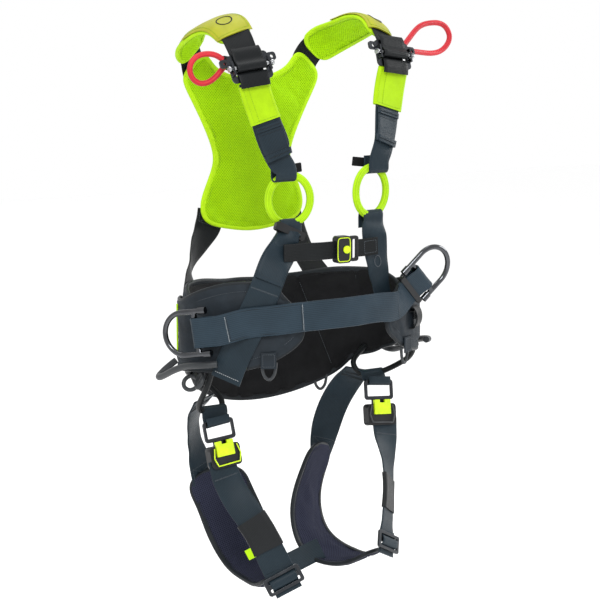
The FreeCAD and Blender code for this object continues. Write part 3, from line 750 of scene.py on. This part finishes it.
# Base colours are linear values.
LIME = rgba(0.30, 0.55, 0.003)
LIME_TAPE = rgba(0.355, 0.60, 0.004)
OLIVE = rgba(0.285, 0.295, 0.005)
SLATE = rgba(0.0085, 0.0150, 0.0205)
BLACK = rgba(0.0042, 0.0050, 0.0056)
M = {
    # A knit's second colour is the painted shade in its holes.
    "lime_mesh": knit("lime_mesh", LIME, rgba(0.13, 0.30, 0.002), planar=True),
    "lime_knit": knit("lime_knit", scaled(LIME, 1.15), rgba(0.18, 0.38, 0.002)),
    "lime_tape": cloth("lime_tape", LIME_TAPE, 1.1, 0.08, 0.6, 0.15, 0.06),
    "olive": cloth("olive", OLIVE, 0.8, 0.1, 0.5, 0.35, 0.12),
    "sleeve": cloth("sleeve", rgba(0.30, 0.50, 0.003), 1.4, 0.16, 0.6, 0.12, 0.09),
    "slate": webbing("slate", SLATE),
    "black": webbing("black", BLACK, light=1.9),
    "waist": webbing("waist", rgba(0.0125, 0.0220, 0.0310), 2.6, 1.3, 0.26, 1.7),
    "belt": cloth("belt", rgba(0.0105, 0.0155, 0.0210), 1.0, 0.14, 0.65, 0.2, 0.25),
    "belt_inner": cloth("belt_inner", rgba(0.0050, 0.0052, 0.0060), 1.6, 0.14, 0.75, 0.15, 0.25),
    "piping": webbing("piping", rgba(0.0090, 0.0110, 0.0130), 1.6, 1.1, 0.15),
    "grey_mesh": knit("grey_mesh", rgba(0.027, 0.030, 0.051), rgba(0.004, 0.004, 0.010), 3.6, 0.4,
                      low=0.15, high=0.65),
    "elastic": webbing("elastic", rgba(0.0090, 0.0100, 0.0110), 2.0, 1.2, 0.25, 1.5),
    "label": cloth("label", rgba(0.006, 0.006, 0.007), 0.7, 0.05),
    "red": webbing("red", rgba(0.40, 0.018, 0.026), 1.5, 1.0, 0.2, 1.35, 0.2),
    "loop": webbing("loop", rgba(0.31, 0.54, 0.004), 2.4, 1.0, 0.25, 1.15, 0.15, 0.6),
    "thread_light": moulded("thread_light", rgba(0.36, 0.38, 0.39), 0.7),
    "thread_grey": moulded("thread_grey", rgba(0.055, 0.065, 0.075), 0.7),
    "thread_dark": moulded("thread_dark", rgba(0.008, 0.009, 0.010), 0.7),
    "thread_lime": moulded("thread_lime", rgba(0.20, 0.34, 0.005), 0.7),
    "dark_metal": metal("dark_metal", rgba(0.045, 0.048, 0.053), 0.3),
    "ring_metal": metal("ring_metal", rgba(0.075, 0.078, 0.084), 0.14),
    "steel": metal("steel", rgba(0.42, 0.43, 0.44), 0.22),
    "plastic": moulded("plastic", rgba(0.0085, 0.0090, 0.0100), 0.38),
    "grey_plastic": moulded("grey_plastic", rgba(0.045, 0.048, 0.052), 0.45),
    "lime_plastic": moulded("lime_plastic", rgba(0.50, 0.68, 0.006), 0.3, 0.03, 0.3),
    "rubber": moulded("rubber", rgba(0.024, 0.027, 0.030), 0.45, 0.06),
}
SLATE_WEB, BLACK_WEB = ((M[key], "slate_webbing") for key in ("slate", "black"))
BELT_SKIN = [M["belt"], M["belt_inner"]]


# ---------------------------------------------------------------- back and shoulders
def back_panel():
    """Mesh panel of the back: a remeshed slab, crowned towards its middle, then swelled."""
    half = np.array(BACK_OUTLINE, float)
    loop = np.concatenate((half, half[-2:0:-1] * (-1, 1)))
    knots = np.arange(len(loop) + 6, dtype=float)
    wrapped = np.concatenate((loop[-3:], loop, loop[:3]))
    n = 260
    outline = cubic(wrapped, knots, np.linspace(3, 3 + len(loop), n, endpoint=False))
    tangent = tangents(outline)
    out = np.stack((tangent[:, 1], -tangent[:, 0]), 1)
    if np.sum(out * (outline - outline.mean(0))) < 0:
        out = -out
    shape = outline - out * 1.5
    verts = [(x, y, z) for y in (BACK_Y - 3, BACK_Y + 3) for x, z in shape]
    faces = [tuple(range(n)), tuple(range(2 * n - 1, n - 1, -1))]
    faces += [(i, i + n, (i + 1) % n + n, (i + 1) % n) for i in range(n)]
    piece = build("back_panel", verts, faces, None, [M["lime_mesh"]], "harness", "lime_mesh",
                  ["back_pad"])
    bpy.context.view_layer.objects.active = piece
    remesh = piece.modifiers.new("Remesh", "REMESH")
    remesh.mode, remesh.voxel_size = "VOXEL", BACK_VOXEL
    shaped = bpy.data.meshes.new_from_object(piece.evaluated_get(
        bpy.context.evaluated_depsgraph_get()))
    piece.modifiers.clear()
    piece.data = shaped
    co = coordinates(shaped)
    flat = co[:, [0, 2]] / MM
    gap = np.full(len(flat), 1e9)
    for a in range(0, n, 2):
        gap = np.minimum(gap, np.linalg.norm(flat - outline[a], axis=1))
    lift = 1.6 + 3.0 * (1 - np.exp(-gap / 9))
    co[:, 1] = (BACK_Y + np.clip((co[:, 1] / MM - BACK_Y) / 3, -1, 1) * lift) * MM
    shaped.vertices.foreach_set("co", co.ravel())
    shaped.update()
    shaped.shade_smooth()
    inflate(piece, np.flatnonzero(gap < 6), 2.5, 0.02)
    smooth = piece.modifiers.new("Subdivision", "SUBSURF")
    smooth.levels = smooth.render_levels = 1
    rim = np.stack((outline[:, 0], np.full(n, BACK_Y), outline[:, 1]), 1)
    up = np.tile((0.0, -1.0, 0.0), (n, 1))
    edge = binding("back_binding", rim, up, M["lime_tape"], "lime_cloth", 7.5, 3.2, 1.0)
    return edge_lines(edge, 8.6, 3.4)


def on_adjuster(side, path):
    """Stations in the shoulder adjuster's own frame, from (distance up the strap, lift) pairs."""
    place = Band(sided(STRAP_FRONT, side, UPPER_LIFT))
    c, across, normal = place.spot(place.knots[1])[:3]
    up = np.cross(normal, across)
    return [tuple(c + up * y + normal * z) + angles(across) for y, z in path]


def folded(x, y, z, sense):
    """Stations of webbing folded over a textile loop's cord; sense -1 turns it under."""
    rows = [(x, y - FOLD_R * c, z + sense * FOLD_R * s) for c, s in half_turn()]
    rows = ([(x, y - FOLD_R, z - sense * 8)] + rows
            + [(x, y + FOLD_R, z - sense * 8), (x, y + FOLD_R, z - sense * 18)])
    return [row + (0, 0, FOLD_W) for row in rows]


lime_seams = back_panel()
light_seams, grey_seams, dark_seams = [], [], []

for side, sign in SIDES.items():
    shoulder = Band(sided(SHOULDER, side))
    rim = panel("shoulder_panel_" + side, shoulder, SHOULDER_T, [M["lime_knit"]] * 2, "lime_mesh",
                ["shoulder_pad_" + side], corner=12, crown=9)
    edge = binding("shoulder_binding_" + side, *rim, M["lime_tape"], "lime_cloth", 5.5, 2.9)
    lime_seams += edge_lines(edge, 6.4, 3.0)

    cover = shoulder.part(0.43, 0.97, 8, SHOULDER_T / 2 + 4.6, 4.0)
    c, across, normal, half = cover.rows(np.linspace(0, cover.length, 40))
    section = flat_profile(half, 2.0)
    section[..., 1] -= (abs(section[..., 0]) / half[:, None]) ** COVER_POWER * COVER_DROOP
    build("shoulder_cover_" + side, *sweep(c, across, normal, section), M["olive"], "harness",
          "olive_cloth")
    first, last, share = 4, cover.length - 4, 0.86
    for u0, s0, u1, s1 in ((first, -share, last, -share), (first, share, last, share),
                           (first, -share, first, share), (last, -share, last, share)):
        across_share = np.linspace(s0, s1, 24)
        c, across, normal, half = cover.rows(np.linspace(u0, u1, 24))
        lift = 1.05 - COVER_DROOP * abs(across_share) ** COVER_POWER
        lime_seams.append((c + across * (half * across_share)[:, None] + normal * lift[:, None],
                           normal))
    printed_ring("cover_ring_" + side, cover, cover.length * 0.70, 11.0, 11.0, 1.2,
                 round_profile(0.9, 8, 0.6), 40, M["thread_dark"], "harness", "olive_cloth")

    c, across, normal, half = shoulder.rows(shoulder.knots)
    over = [tuple(point) + s[3:5] for point, s in zip(c + normal * (SHOULDER_T / 2 + 1.8),
                                                      sided(SHOULDER, side))]
    over_strap = Band(sided(STRAP_BACK, side) + over + sided(STRAP_FRONT, side, UPPER_LIFT),
                      OVER_WEB)
    strap("shoulder_strap_" + side, over_strap, WEB_T, *BLACK_WEB)
    for lift in (-ON_WEB, ON_WEB):
        grey_seams += seam_box(over_strap, 3, 34, lift, 4, True)

    for name, path, body in (
            ("adjuster_wrap_", [(28, 4.2), (24, 6.0), (18, 7.2), (10, 7.4), (5, 9.6), (1, 11.9),
                                (-3, 11.2), (-5.0, 8.4), (-4.2, 5.0), (-1.5, 3.3), (4, 3.2)],
             "adjuster_bar_" + side),
            ("adjuster_fold_", [(-29, 3.4), (-25, 4.8), (-20, 6.2), (-14, 6.6), (-9.6, 5.8),
                                (-8.4, 3.6), (-9.0, 2.2)], "harness")):
        local = on_adjuster(side, path)
        strap(name + side, Band(local, 45.0), 2.0, *BLACK_WEB, body=body, step=1.0)
        if body == "harness":
            grey_seams += tack(Band(local), 11, ON_WEB, 2.4, 4)

    # The textile loop: flattened, with a groove round its middle.
    x, y, z, yaw = sign * RING[0], RING[1], RING[2] + sign * 2.0, math.radians(sign * RING[3])
    turn = full_turn(96)
    line = (np.array([x, y, z])
            + RING_W * np.cos(turn)[:, None] * np.array([math.cos(yaw), math.sin(yaw), 0.0])
            + RING_H * np.sin(turn)[:, None] * np.array([0.0, 0.0, 1.0]))
    up = np.tile([math.sin(yaw), -math.cos(yaw), 0.0], (len(line), 1))
    section = round_profile(RING_R, 20, 0.86)
    section[:, 1] *= 1 - 0.22 * np.exp(-(section[:, 0] / 1.3) ** 2)
    loop("attachment_loop_" + side, line, up, section, M["loop"], "harness", "lime_cloth")

    front_rows = sided(FRONT_STRAP, side, UPPER_LIFT)
    strap("front_strap_" + side, Band(front_rows + folded(x + sign * 9, y, z + RING_H - 1.4, -1)),
          WEB_T, *SLATE_WEB)
    plain = Band(front_rows)
    cuff = plain.part(0.03, 0.49, 8, 0.0, 3.4 if side == "right" else 9.0)
    strap("strap_sleeve_" + side, cuff, 6.0, M["sleeve"], "lime_cloth",
          once("strap_sleeves", side))
    lime_seams += seam_box(cuff, 3, cuff.length - 3, 3.1, 5)
    lime_seams += [cuff.line(3, -0.45, cuff.length - 3, -0.45, 3.1)]
    end = plain.part(0.52, 0.93, 8, 2.3, -4.0)
    strap("strap_end_" + side, end, 2.2, *SLATE_WEB, once("strap_ends", side), hem=9)
    dark_seams += tack(end, 8, 1.2, 3.5, 3) + [end.line(13, -0.85, 13, 0.85, 1.2)]
    for index, (start, stop, out, thick, grow) in enumerate(((0.855, 0.93, 3.4, 6.4, 1.0),
                                                             (0.53, 0.59, 3.0, 4.4, -3.0))):
        hem = plain.part(start, stop, 5, out, grow)
        strap("strap_hem_%s_%d" % (side, index), hem, thick, *SLATE_WEB,
              once("strap_keepers", side, index), step=1.0)
        dark_seams += tack(hem, hem.length / 2, thick / 2 + 0.1, 2.6, 4, 1.6)

    lower = Band(folded(x, y, z - RING_H, 1)[::-1] + LOWER[side])
    strap("lower_front_strap_" + side, lower, WEB_T, *SLATE_WEB, hem=8, wave=0.5)
    if side == "left":
        printed_ring("strap_mark", lower, lower.length * 0.60, 8.0, 6.0, ON_WEB,
                     round_profile(0.6, 8), 36, M["thread_grey"], "harness", "slate_webbing")
    else:
        tail = lower.part(0.20, 0.47, 8, 2.3, -4)
        strap("lower_strap_tail", tail, 2.2, *SLATE_WEB, hem=9)
        dark_seams += [tail.line(tail.length - 5, -0.85, tail.length - 5, 0.85, 1.8)]
        light_seams += [lower.line(lower.length - 7, -0.85, lower.length - 7, 0.85, 2.1)]
        grey_seams += tack(lower, lower.length * 0.52, ON_WEB, 3.0)

    back = Band(BACK_STRAP[side])
    strap("back_strap_" + side, back, WEB_T, *BLACK_WEB, wave=0.5)
    for start, stop in ((4, 24), (back.length - 26, back.length - 4)):
        grey_seams += seam_box(back, start, stop, ON_WEB, 4, True)

    tube("park_loop_" + side, PARK_LOOP[side], 4.0, M["red"], "red_cord")
    ends = (np.array(PARK_LOOP[side][0], float) + PARK_LOOP[side][-1]) / 2
    inward = unit(np.array([-sign, 0.1, -0.25]))
    tab = Band([tuple(ends + inward * reach) + (90, 82, wide)
                for reach, wide in ((-2.0, 18), (11.25, 20), (24.5, 20))])
    strap("park_tab_" + side, tab, 9.0, *BLACK_WEB,
          once("park_tabs", side), step=1.5)
    grey_seams += seam_box(tab, 6, 22, 4.6, 3, True) + seam_box(tab, 6, 22, -4.6, 3, True)


# ---------------------------------------------------------------- chest strap
chest_right, chest_left = (
    Band([(x, CHEST_Y - back, CHEST_Z + up, 0, 90) for x, back, up in rows], CHEST_WEB)
    for rows in (((-94, 1, 1), (-64, 0, 1), (-38, 0, 0), (CHEST_X - 11, 0, 0)),
                 ((CHEST_X + 24, 0, 0), (CHEST_X + 38, 0, 0), (CHEST_X + 48, 0, 0.5), (64, 0, 1))))
strap("chest_strap_right", chest_right, WEB_T, *BLACK_WEB)
strap("chest_strap_left", chest_left, WEB_T, *BLACK_WEB, body="chest_tongue")
turn = full_turn(64)
squared = [np.sign(row) * abs(row) ** 0.35 for row in (np.cos(turn), np.sin(turn))]
line = np.stack((CHEST_X - 0.2 + 10.4 * squared[0], np.full(64, CHEST_Y - 6.1),
                 CHEST_Z + 16.6 * squared[1]), 1)
loop("chest_trim", line, np.tile((0.0, -1.0, 0.0), (64, 1)), round_profile(0.7, 8),
     M["lime_plastic"], "harness", "lime_plastic")
stitching("chest_stitches", seam_box(chest_left, 14, 34, ON_WEB, 4), M["thread_grey"],
          "slate_webbing", body="chest_tongue")


# ---------------------------------------------------------------- waist
lumbar_rows = LUMBAR_EDGES + [(360 - t, lo, hi) for t, lo, hi in reversed(LUMBAR_EDGES[:-1])]
lumbar = Band(belt(LUMBAR_A, LUMBAR_B, lumbar_rows))
channels = [lumbar.length * f for f in (0.17, 0.31, 0.44, 0.56, 0.69, 0.83)]
rim = panel("lumbar_panel", lumbar, LUMBAR_T, BELT_SKIN, "belt_cloth", ["lumbar_pad"], corner=14,
            crown=10, rows=channels, step=5.5, cap=3.0)
edge = binding("lumbar_binding", *rim, M["piping"], "belt_cloth", 6.5, 3.0)
dark_seams += edge_lines(edge, 7.4, 3.4)
for at in channels:
    grey_seams += [lumbar.line(at, -0.82, at, 0.82, 1.9), lumbar.line(at, -0.82, at, 0.82, -1.9)]

for side in SIDES:
    edges = WING_EDGES if side == "left" else [(-t, lo, hi) for t, lo, hi in reversed(WING_EDGES)]
    rim = panel("hip_wing_panel_" + side, Band(belt(WING_A, WING_B, edges)), WING_T, BELT_SKIN,
                "belt_cloth", ["hip_wing_" + side], corner=10, crown=5, insets=(13,))
    edge = binding("hip_wing_binding_" + side, *rim, M["piping"], "belt_cloth", 4.5, 2.6)
    grey_seams += edge_lines(edge, 13, 2.4)[:1]


def before_bar(side, reach, lift=0.0):
    """A point of the waist webbing before the D-ring's bar, lifted off its own plane."""
    axis, cross = unit(np.array(D_AXIS[side])), unit(np.array(D_ACROSS[side]))
    axis = unit(axis - cross * axis.dot(cross))
    outward = np.cross(axis, cross) * SIDES[side]
    return tuple(np.array(D_BAR[side]) - axis * reach + outward * lift) + angles(cross)


# The waist webbing goes round the right D-ring's bar, round the belt and round the left bar.
WRAP = [(34, -2.6), (20, -2.8), (9, -4.0), (2, -5.2), (-3.6, -3.8), (-5.2, 0.0), (-3.6, 3.8),
        (2, 5.2), (9, 3.0), (18, 0.6), (31, 0.0)]
waist = Band([before_bar("right", *row) for row in WRAP]
             + [ellipse(OVER_A, OVER_B, turn, z) + (0, 90) for turn, z in WAIST_TURNS]
             + [before_bar("left", *row) for row in WRAP[::-1]], WAIST_WEB)
strap("waist_webbing", waist, WEB_T, M["waist"], "slate_webbing", rib=0.3, wave=0.45)
belt_start, belt_end = waist.knots[len(WRAP)], waist.knots[-1 - len(WRAP)]
for at in (-24.0, 82.0):
    light_seams += tack(waist, belt_start + at, ON_WEB, 1.6, 3, 1.5)
dark_seams += seam_box(waist, belt_start - 22, belt_start + 80, ON_WEB, 3)
grey_seams += tack(waist, belt_end - 4, ON_WEB, 1.6, 3, 1.5)

for side, sign in SIDES.items():
    tube("gear_loop_" + side, [(sign * x, y, z) for x, y, z in GEAR_LOOP], 4.8, M["rubber"],
         "grey_rubber")
    # A hip loop's lift grows to its full size over the 60 mm below its start.
    points = [(sign * x, y, z + sign * HIP_LIFT * min(1.0, (HIP_LOOP[0][2] - z) / 60.0))
              for x, y, z in HIP_LOOP]
    tube("hip_loop_" + side, points, 4.2, *BLACK_WEB, once("hip_loops", side))

LOOP_TURNS = ((-38, WING_A, WING_B, -53), (38, WING_A, WING_B, -53),
              (146, LUMBAR_A, LUMBAR_B, -123))
for index, (turn, a, b, top) in enumerate(LOOP_TURNS):
    points = [ellipse(a, b, turn + math.degrees(9.0 * c / 150.0), top - 24 * s)
              for c, s in half_turn()]
    tube("accessory_loop_%d" % index, points, 2.2, M["rubber"], "slate_webbing",
         once("accessory_loops", "left", index), step=1.5)
for index, (turn, a, b, top) in enumerate(LOOP_TURNS[:2]):
    tab = Band([ellipse(a + 5.0, b + 5.0, turn, z) + (turn * 0.72, 0)
                for z in (-38, -46, -54, -61)], 22.0)
    strap("accessory_tab_%d" % index, tab, 1.8, M["belt"], "slate_webbing")
    grey_seams += seam_box(tab, 3, 20, 1.0, 3)
for side, sign in SIDES.items():
    line = np.array([ellipse(WING_A + 4.4, WING_B + 4.4, sign * 104, z)
                     for z in np.linspace(18, -56, 26)])
    build("lime_piping_" + side, *sweep(line, *path_frames(line), round_profile(1.3, 10)),
          M["lime_tape"], "harness", "lime_cloth")

# Below the left D-ring: a strap stowed in a growing coil. Below the right hip: two small rings.
bundle = []
for k in range(0, 620, 30):
    c, s, r = math.cos(math.radians(k)), math.sin(math.radians(k)), 6.0 + k / 90.0
    bundle.append((136 + r * 0.75 * c, -92 - r * 0.5 * c, -14 + 1.5 * r * s, 36, 0))
strap("stowed_strap", Band(bundle, 24.0), 1.8, *BLACK_WEB, step=2.0)
for index, (x, y, z, tilt) in enumerate(((-186, -30, -82, 0.3), (-190, -12, -88, -0.5))):
    turn = full_turn(40)
    ring = np.array([x, y, z]) + 10.5 * (np.cos(turn)[:, None] * np.array([tilt, 0.9, 0.2])
                                         + np.sin(turn)[:, None] * np.array([0.5, 0.0, 0.85]))
    loop("hip_ring_%d" % index, ring, unit(ring - ring.mean(0)), round_profile(3.0, 12),
         M["rubber"], "harness", "grey_rubber")


# ---------------------------------------------------------------- leg loops
def fold(centre, out, up, radius, turned, wide):
    """Stations of webbing over a bar: a half turn from the side out, by way of up."""
    return [tuple(centre + out * (radius * c) + up * (radius * s)) + turned + (wide,)
            for c, s in half_turn()]


for side, sign in SIDES.items():
    rows = sided(LEG_FRONT, side, LEG_LIFT)
    leg = Band(rows)
    across, normal = leg.spot(0.0)[1:3]
    along = np.cross(normal, across)
    origin = np.array([sign * BUCKLE[0], BUCKLE[1], BUCKLE[2] + sign * LEG_LIFT])

    # The hanger goes round the hip loop and round the buckle frame's bar.
    bar = origin + along * 12.5
    top = np.array([sign * HIP[0], HIP[1], HIP[2] + sign * HIP_LIFT])
    folds = (fold(top, np.array([0, 1, 0]), np.array([0, 0, 1]), 7.0, (0, 0), 42)
             + fold(bar, normal, -along, 5.2, angles(across), 38)[::-1]
             + [tuple(bar + normal * 5.0 + along * 7.0) + angles(across) + (38,)])
    hanger = strap("leg_hanger_" + side, Band(folds), 1.6, *SLATE_WEB, body=None, step=1.8)
    start, end = (tuple((top + (bar - top) * share) * MM) for share in (0.25, 0.75))
    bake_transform(hanger)

    strap("leg_front_strap_" + side, leg, WEB_T, *SLATE_WEB, wave=0.4)
    grey_seams += tack(leg, 26, ON_WEB, 3.0)
    outline = [(-18.5, -24), (-22, -38), (-18, -49.5), (18, -49.5), (22, -38), (18.5, -24)]
    outline = np.array([origin + across * a + along * b + normal * 7.2 for a, b in outline])
    eighths = np.linspace(0, 1, 9)[:-1, None]
    line = np.concatenate([a + (b - a) * eighths for a, b in zip(outline, outline[1:])]
                          + [outline[5:]])
    up = np.tile(normal, (len(line), 1))
    side_way = unit(np.cross(np.gradient(line, axis=0), up))
    build("buckle_trim_" + side, *sweep(line, side_way, up, round_profile(0.95, 10)),
          M["lime_plastic" if side == "right" else "grey_plastic"], "harness", "lime_plastic")
    c, cross, out = leg.spot(leg.knots[5])[:3]
    path = [(17, -3.2), (13, -3.0), (9.5, -2.4), (6.8, -0.6), (5.6, 1.6), (3.4, 3.1), (0, 3.5),
            (-3.4, 3.1), (-5.6, 1.6), (-6.8, -0.6), (-9.5, -2.2), (-14, -2.9), (-19, -3.4)]
    upward = np.cross(out, cross)
    threaded = Band([tuple(c + out * (4 + z) + upward * y) + angles(cross) for y, z in path], 40.0)
    strap("leg_slide_web_" + side, threaded, 1.6, *SLATE_WEB, step=1.2, hem=3)
    cuff = Band(rows[1:]).part(0.42, 0.72, 8, 0.0, 4.4)
    strap("leg_sleeve_" + side, cuff, 6.4, M["elastic"], "slate_webbing",
          once("leg_sleeves", side), step=2.0)

    if side == "right":
        c, across, normal, half = cuff.spot(cuff.length * 0.86)
        tag = [tuple(c - across * (half + reach) + normal * 1.5) + (90, 80, 15)
               for reach in (-3, 2, 8)]
        strap("lime_tag", Band(tag), 1.4, M["lime_tape"], "lime_cloth", step=2)
    rim = panel("leg_panel_" + side, Band(sided(LEG_PAD, side, PAD_LIFT)), LEG_PAD_T,
                [M["grey_mesh"]] * 2, "grey_mesh", ["leg_pad_" + side], corner=16, crown=8)
    edge = binding("leg_binding_" + side, *rim, M["piping"], "slate_webbing", 6.0, 2.8)
    dark_seams += edge_lines(edge, 7.0, 3.0)
    riser = Band(sided(RISER, side, PAD_LIFT))
    strap("hip_riser_" + side, riser, WEB_T, *SLATE_WEB, wave=0.5)
    for lift in (ON_WEB, -ON_WEB):
        grey_seams += seam_box(riser, riser.length - 26, riser.length - 4, lift, 4, True)
    dark_seams += tack(riser, 14, ON_WEB) + tack(riser, 22, ON_WEB)

strap("subpelvic_strap", Band(SUBPELVIC), WEB_T, *SLATE_WEB)

for tone, seams in (("lime", lime_seams), ("light", light_seams), ("grey", grey_seams),
                    ("dark", dark_seams)):
    stitching("stitches_" + tone, seams, M["thread_" + tone],
              "lime_cloth" if tone == "lime" else "slate_webbing")


# ---------------------------------------------------------------- hardware from the frame
def finish_node(node, material, bevel, segments):
    """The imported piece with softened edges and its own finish."""
    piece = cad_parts[node]
    piece.data.materials.clear()
    piece.data.materials.append(material)
    weld = piece.modifiers.new("Weld", "WELD")
    weld.merge_threshold = 0.00002
    if bevel:
        soft = piece.modifiers.new("Bevel", "BEVEL")
        soft.width, soft.segments = bevel * MM, segments
        soft.limit_method, soft.angle_limit = "ANGLE", math.radians(35)
        soft.harden_normals = True


for nodes, finish, bevel, segments in (
        ("adjuster_frame", "dark_metal", 0.6, 2), ("adjuster_bar", "steel", 0.4, 2),
        ("side_d_ring", "ring_metal", 0, 2), ("leg_buckle_frame", "dark_metal", 0.8, 2),
        ("leg_buckle_body", "plastic", 1.2, 3), ("leg_buckle_lever", "lime_plastic", 0.8, 2),
        ("leg_slides", "dark_metal", 0.6, 2), ("chest_housing", "plastic", 1.2, 3),
        ("chest_button", "lime_plastic", 0.6, 2), ("chest_tongue", "plastic", 0.8, 2),
        ("strap_slider", "plastic", 1.0, 2), ("d_ring_keeper", "plastic", 1.2, 2),
        ("loop_labels", "label", 0.2, 2)):
    for node in (nodes, nodes + "_left", nodes + "_right"):
        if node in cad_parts:
            finish_node(node, M[finish], bevel, segments)


# ---------------------------------------------------------------- floor, light and camera
def stage():
    world = bpy.data.worlds.new("World")
    bpy.context.scene.world = world
    world.use_nodes = True
    background = world.node_tree.nodes["Background"]
    background.inputs[0].default_value = (1.0, 1.0, 1.0, 1.0)
    background.inputs[1].default_value = 1.0
    bpy.ops.mesh.primitive_plane_add(size=12, location=(0, 0, cad_low[2] - 0.12))
    floor = bpy.context.object
    floor.name = "floor"
    paper = Shade("paper", 0.9)
    paper.colour(rgba(0.985, 0.985, 0.985))
    floor.data.materials.append(paper.material)
    for name, place, size, power in (("key", (-1.3, -1.7, 1.7), 0.9, 48),
                                     ("rim", (1.9, -0.3, 0.7), 0.8, 22),
                                     ("top", (0.2, 0.4, 2.2), 1.2, 16)):
        data = bpy.data.lights.new(name, "AREA")
        data.size, data.energy = size, power
        lamp = bpy.data.objects.new(name, data)
        bpy.context.scene.collection.objects.link(lamp)
        aim(lamp, place, (0, 0, 0))


def aim(item, place, target):
    item.location = place
    item.rotation_mode = "QUATERNION"
    item.rotation_quaternion = (Vector(target) - Vector(place)).to_track_quat("-Z", "Y")


def camera():
    azimuth, elevation, distance, target = math.radians(-33), math.radians(9), 2.9, (0, 0, 0.0116)
    data = bpy.data.cameras.new("camera")
    data.lens, data.sensor_width = 120, 36
    item = bpy.data.objects.new("camera", data)
    bpy.context.scene.collection.objects.link(item)
    aim(item, (distance * math.sin(azimuth) * math.cos(elevation),
               -distance * math.cos(azimuth) * math.cos(elevation),
               target[2] + distance * math.sin(elevation)), target)
    bpy.context.scene.camera = item


stage()
camera()
bpy.context.scene.view_settings.view_transform = "Standard"
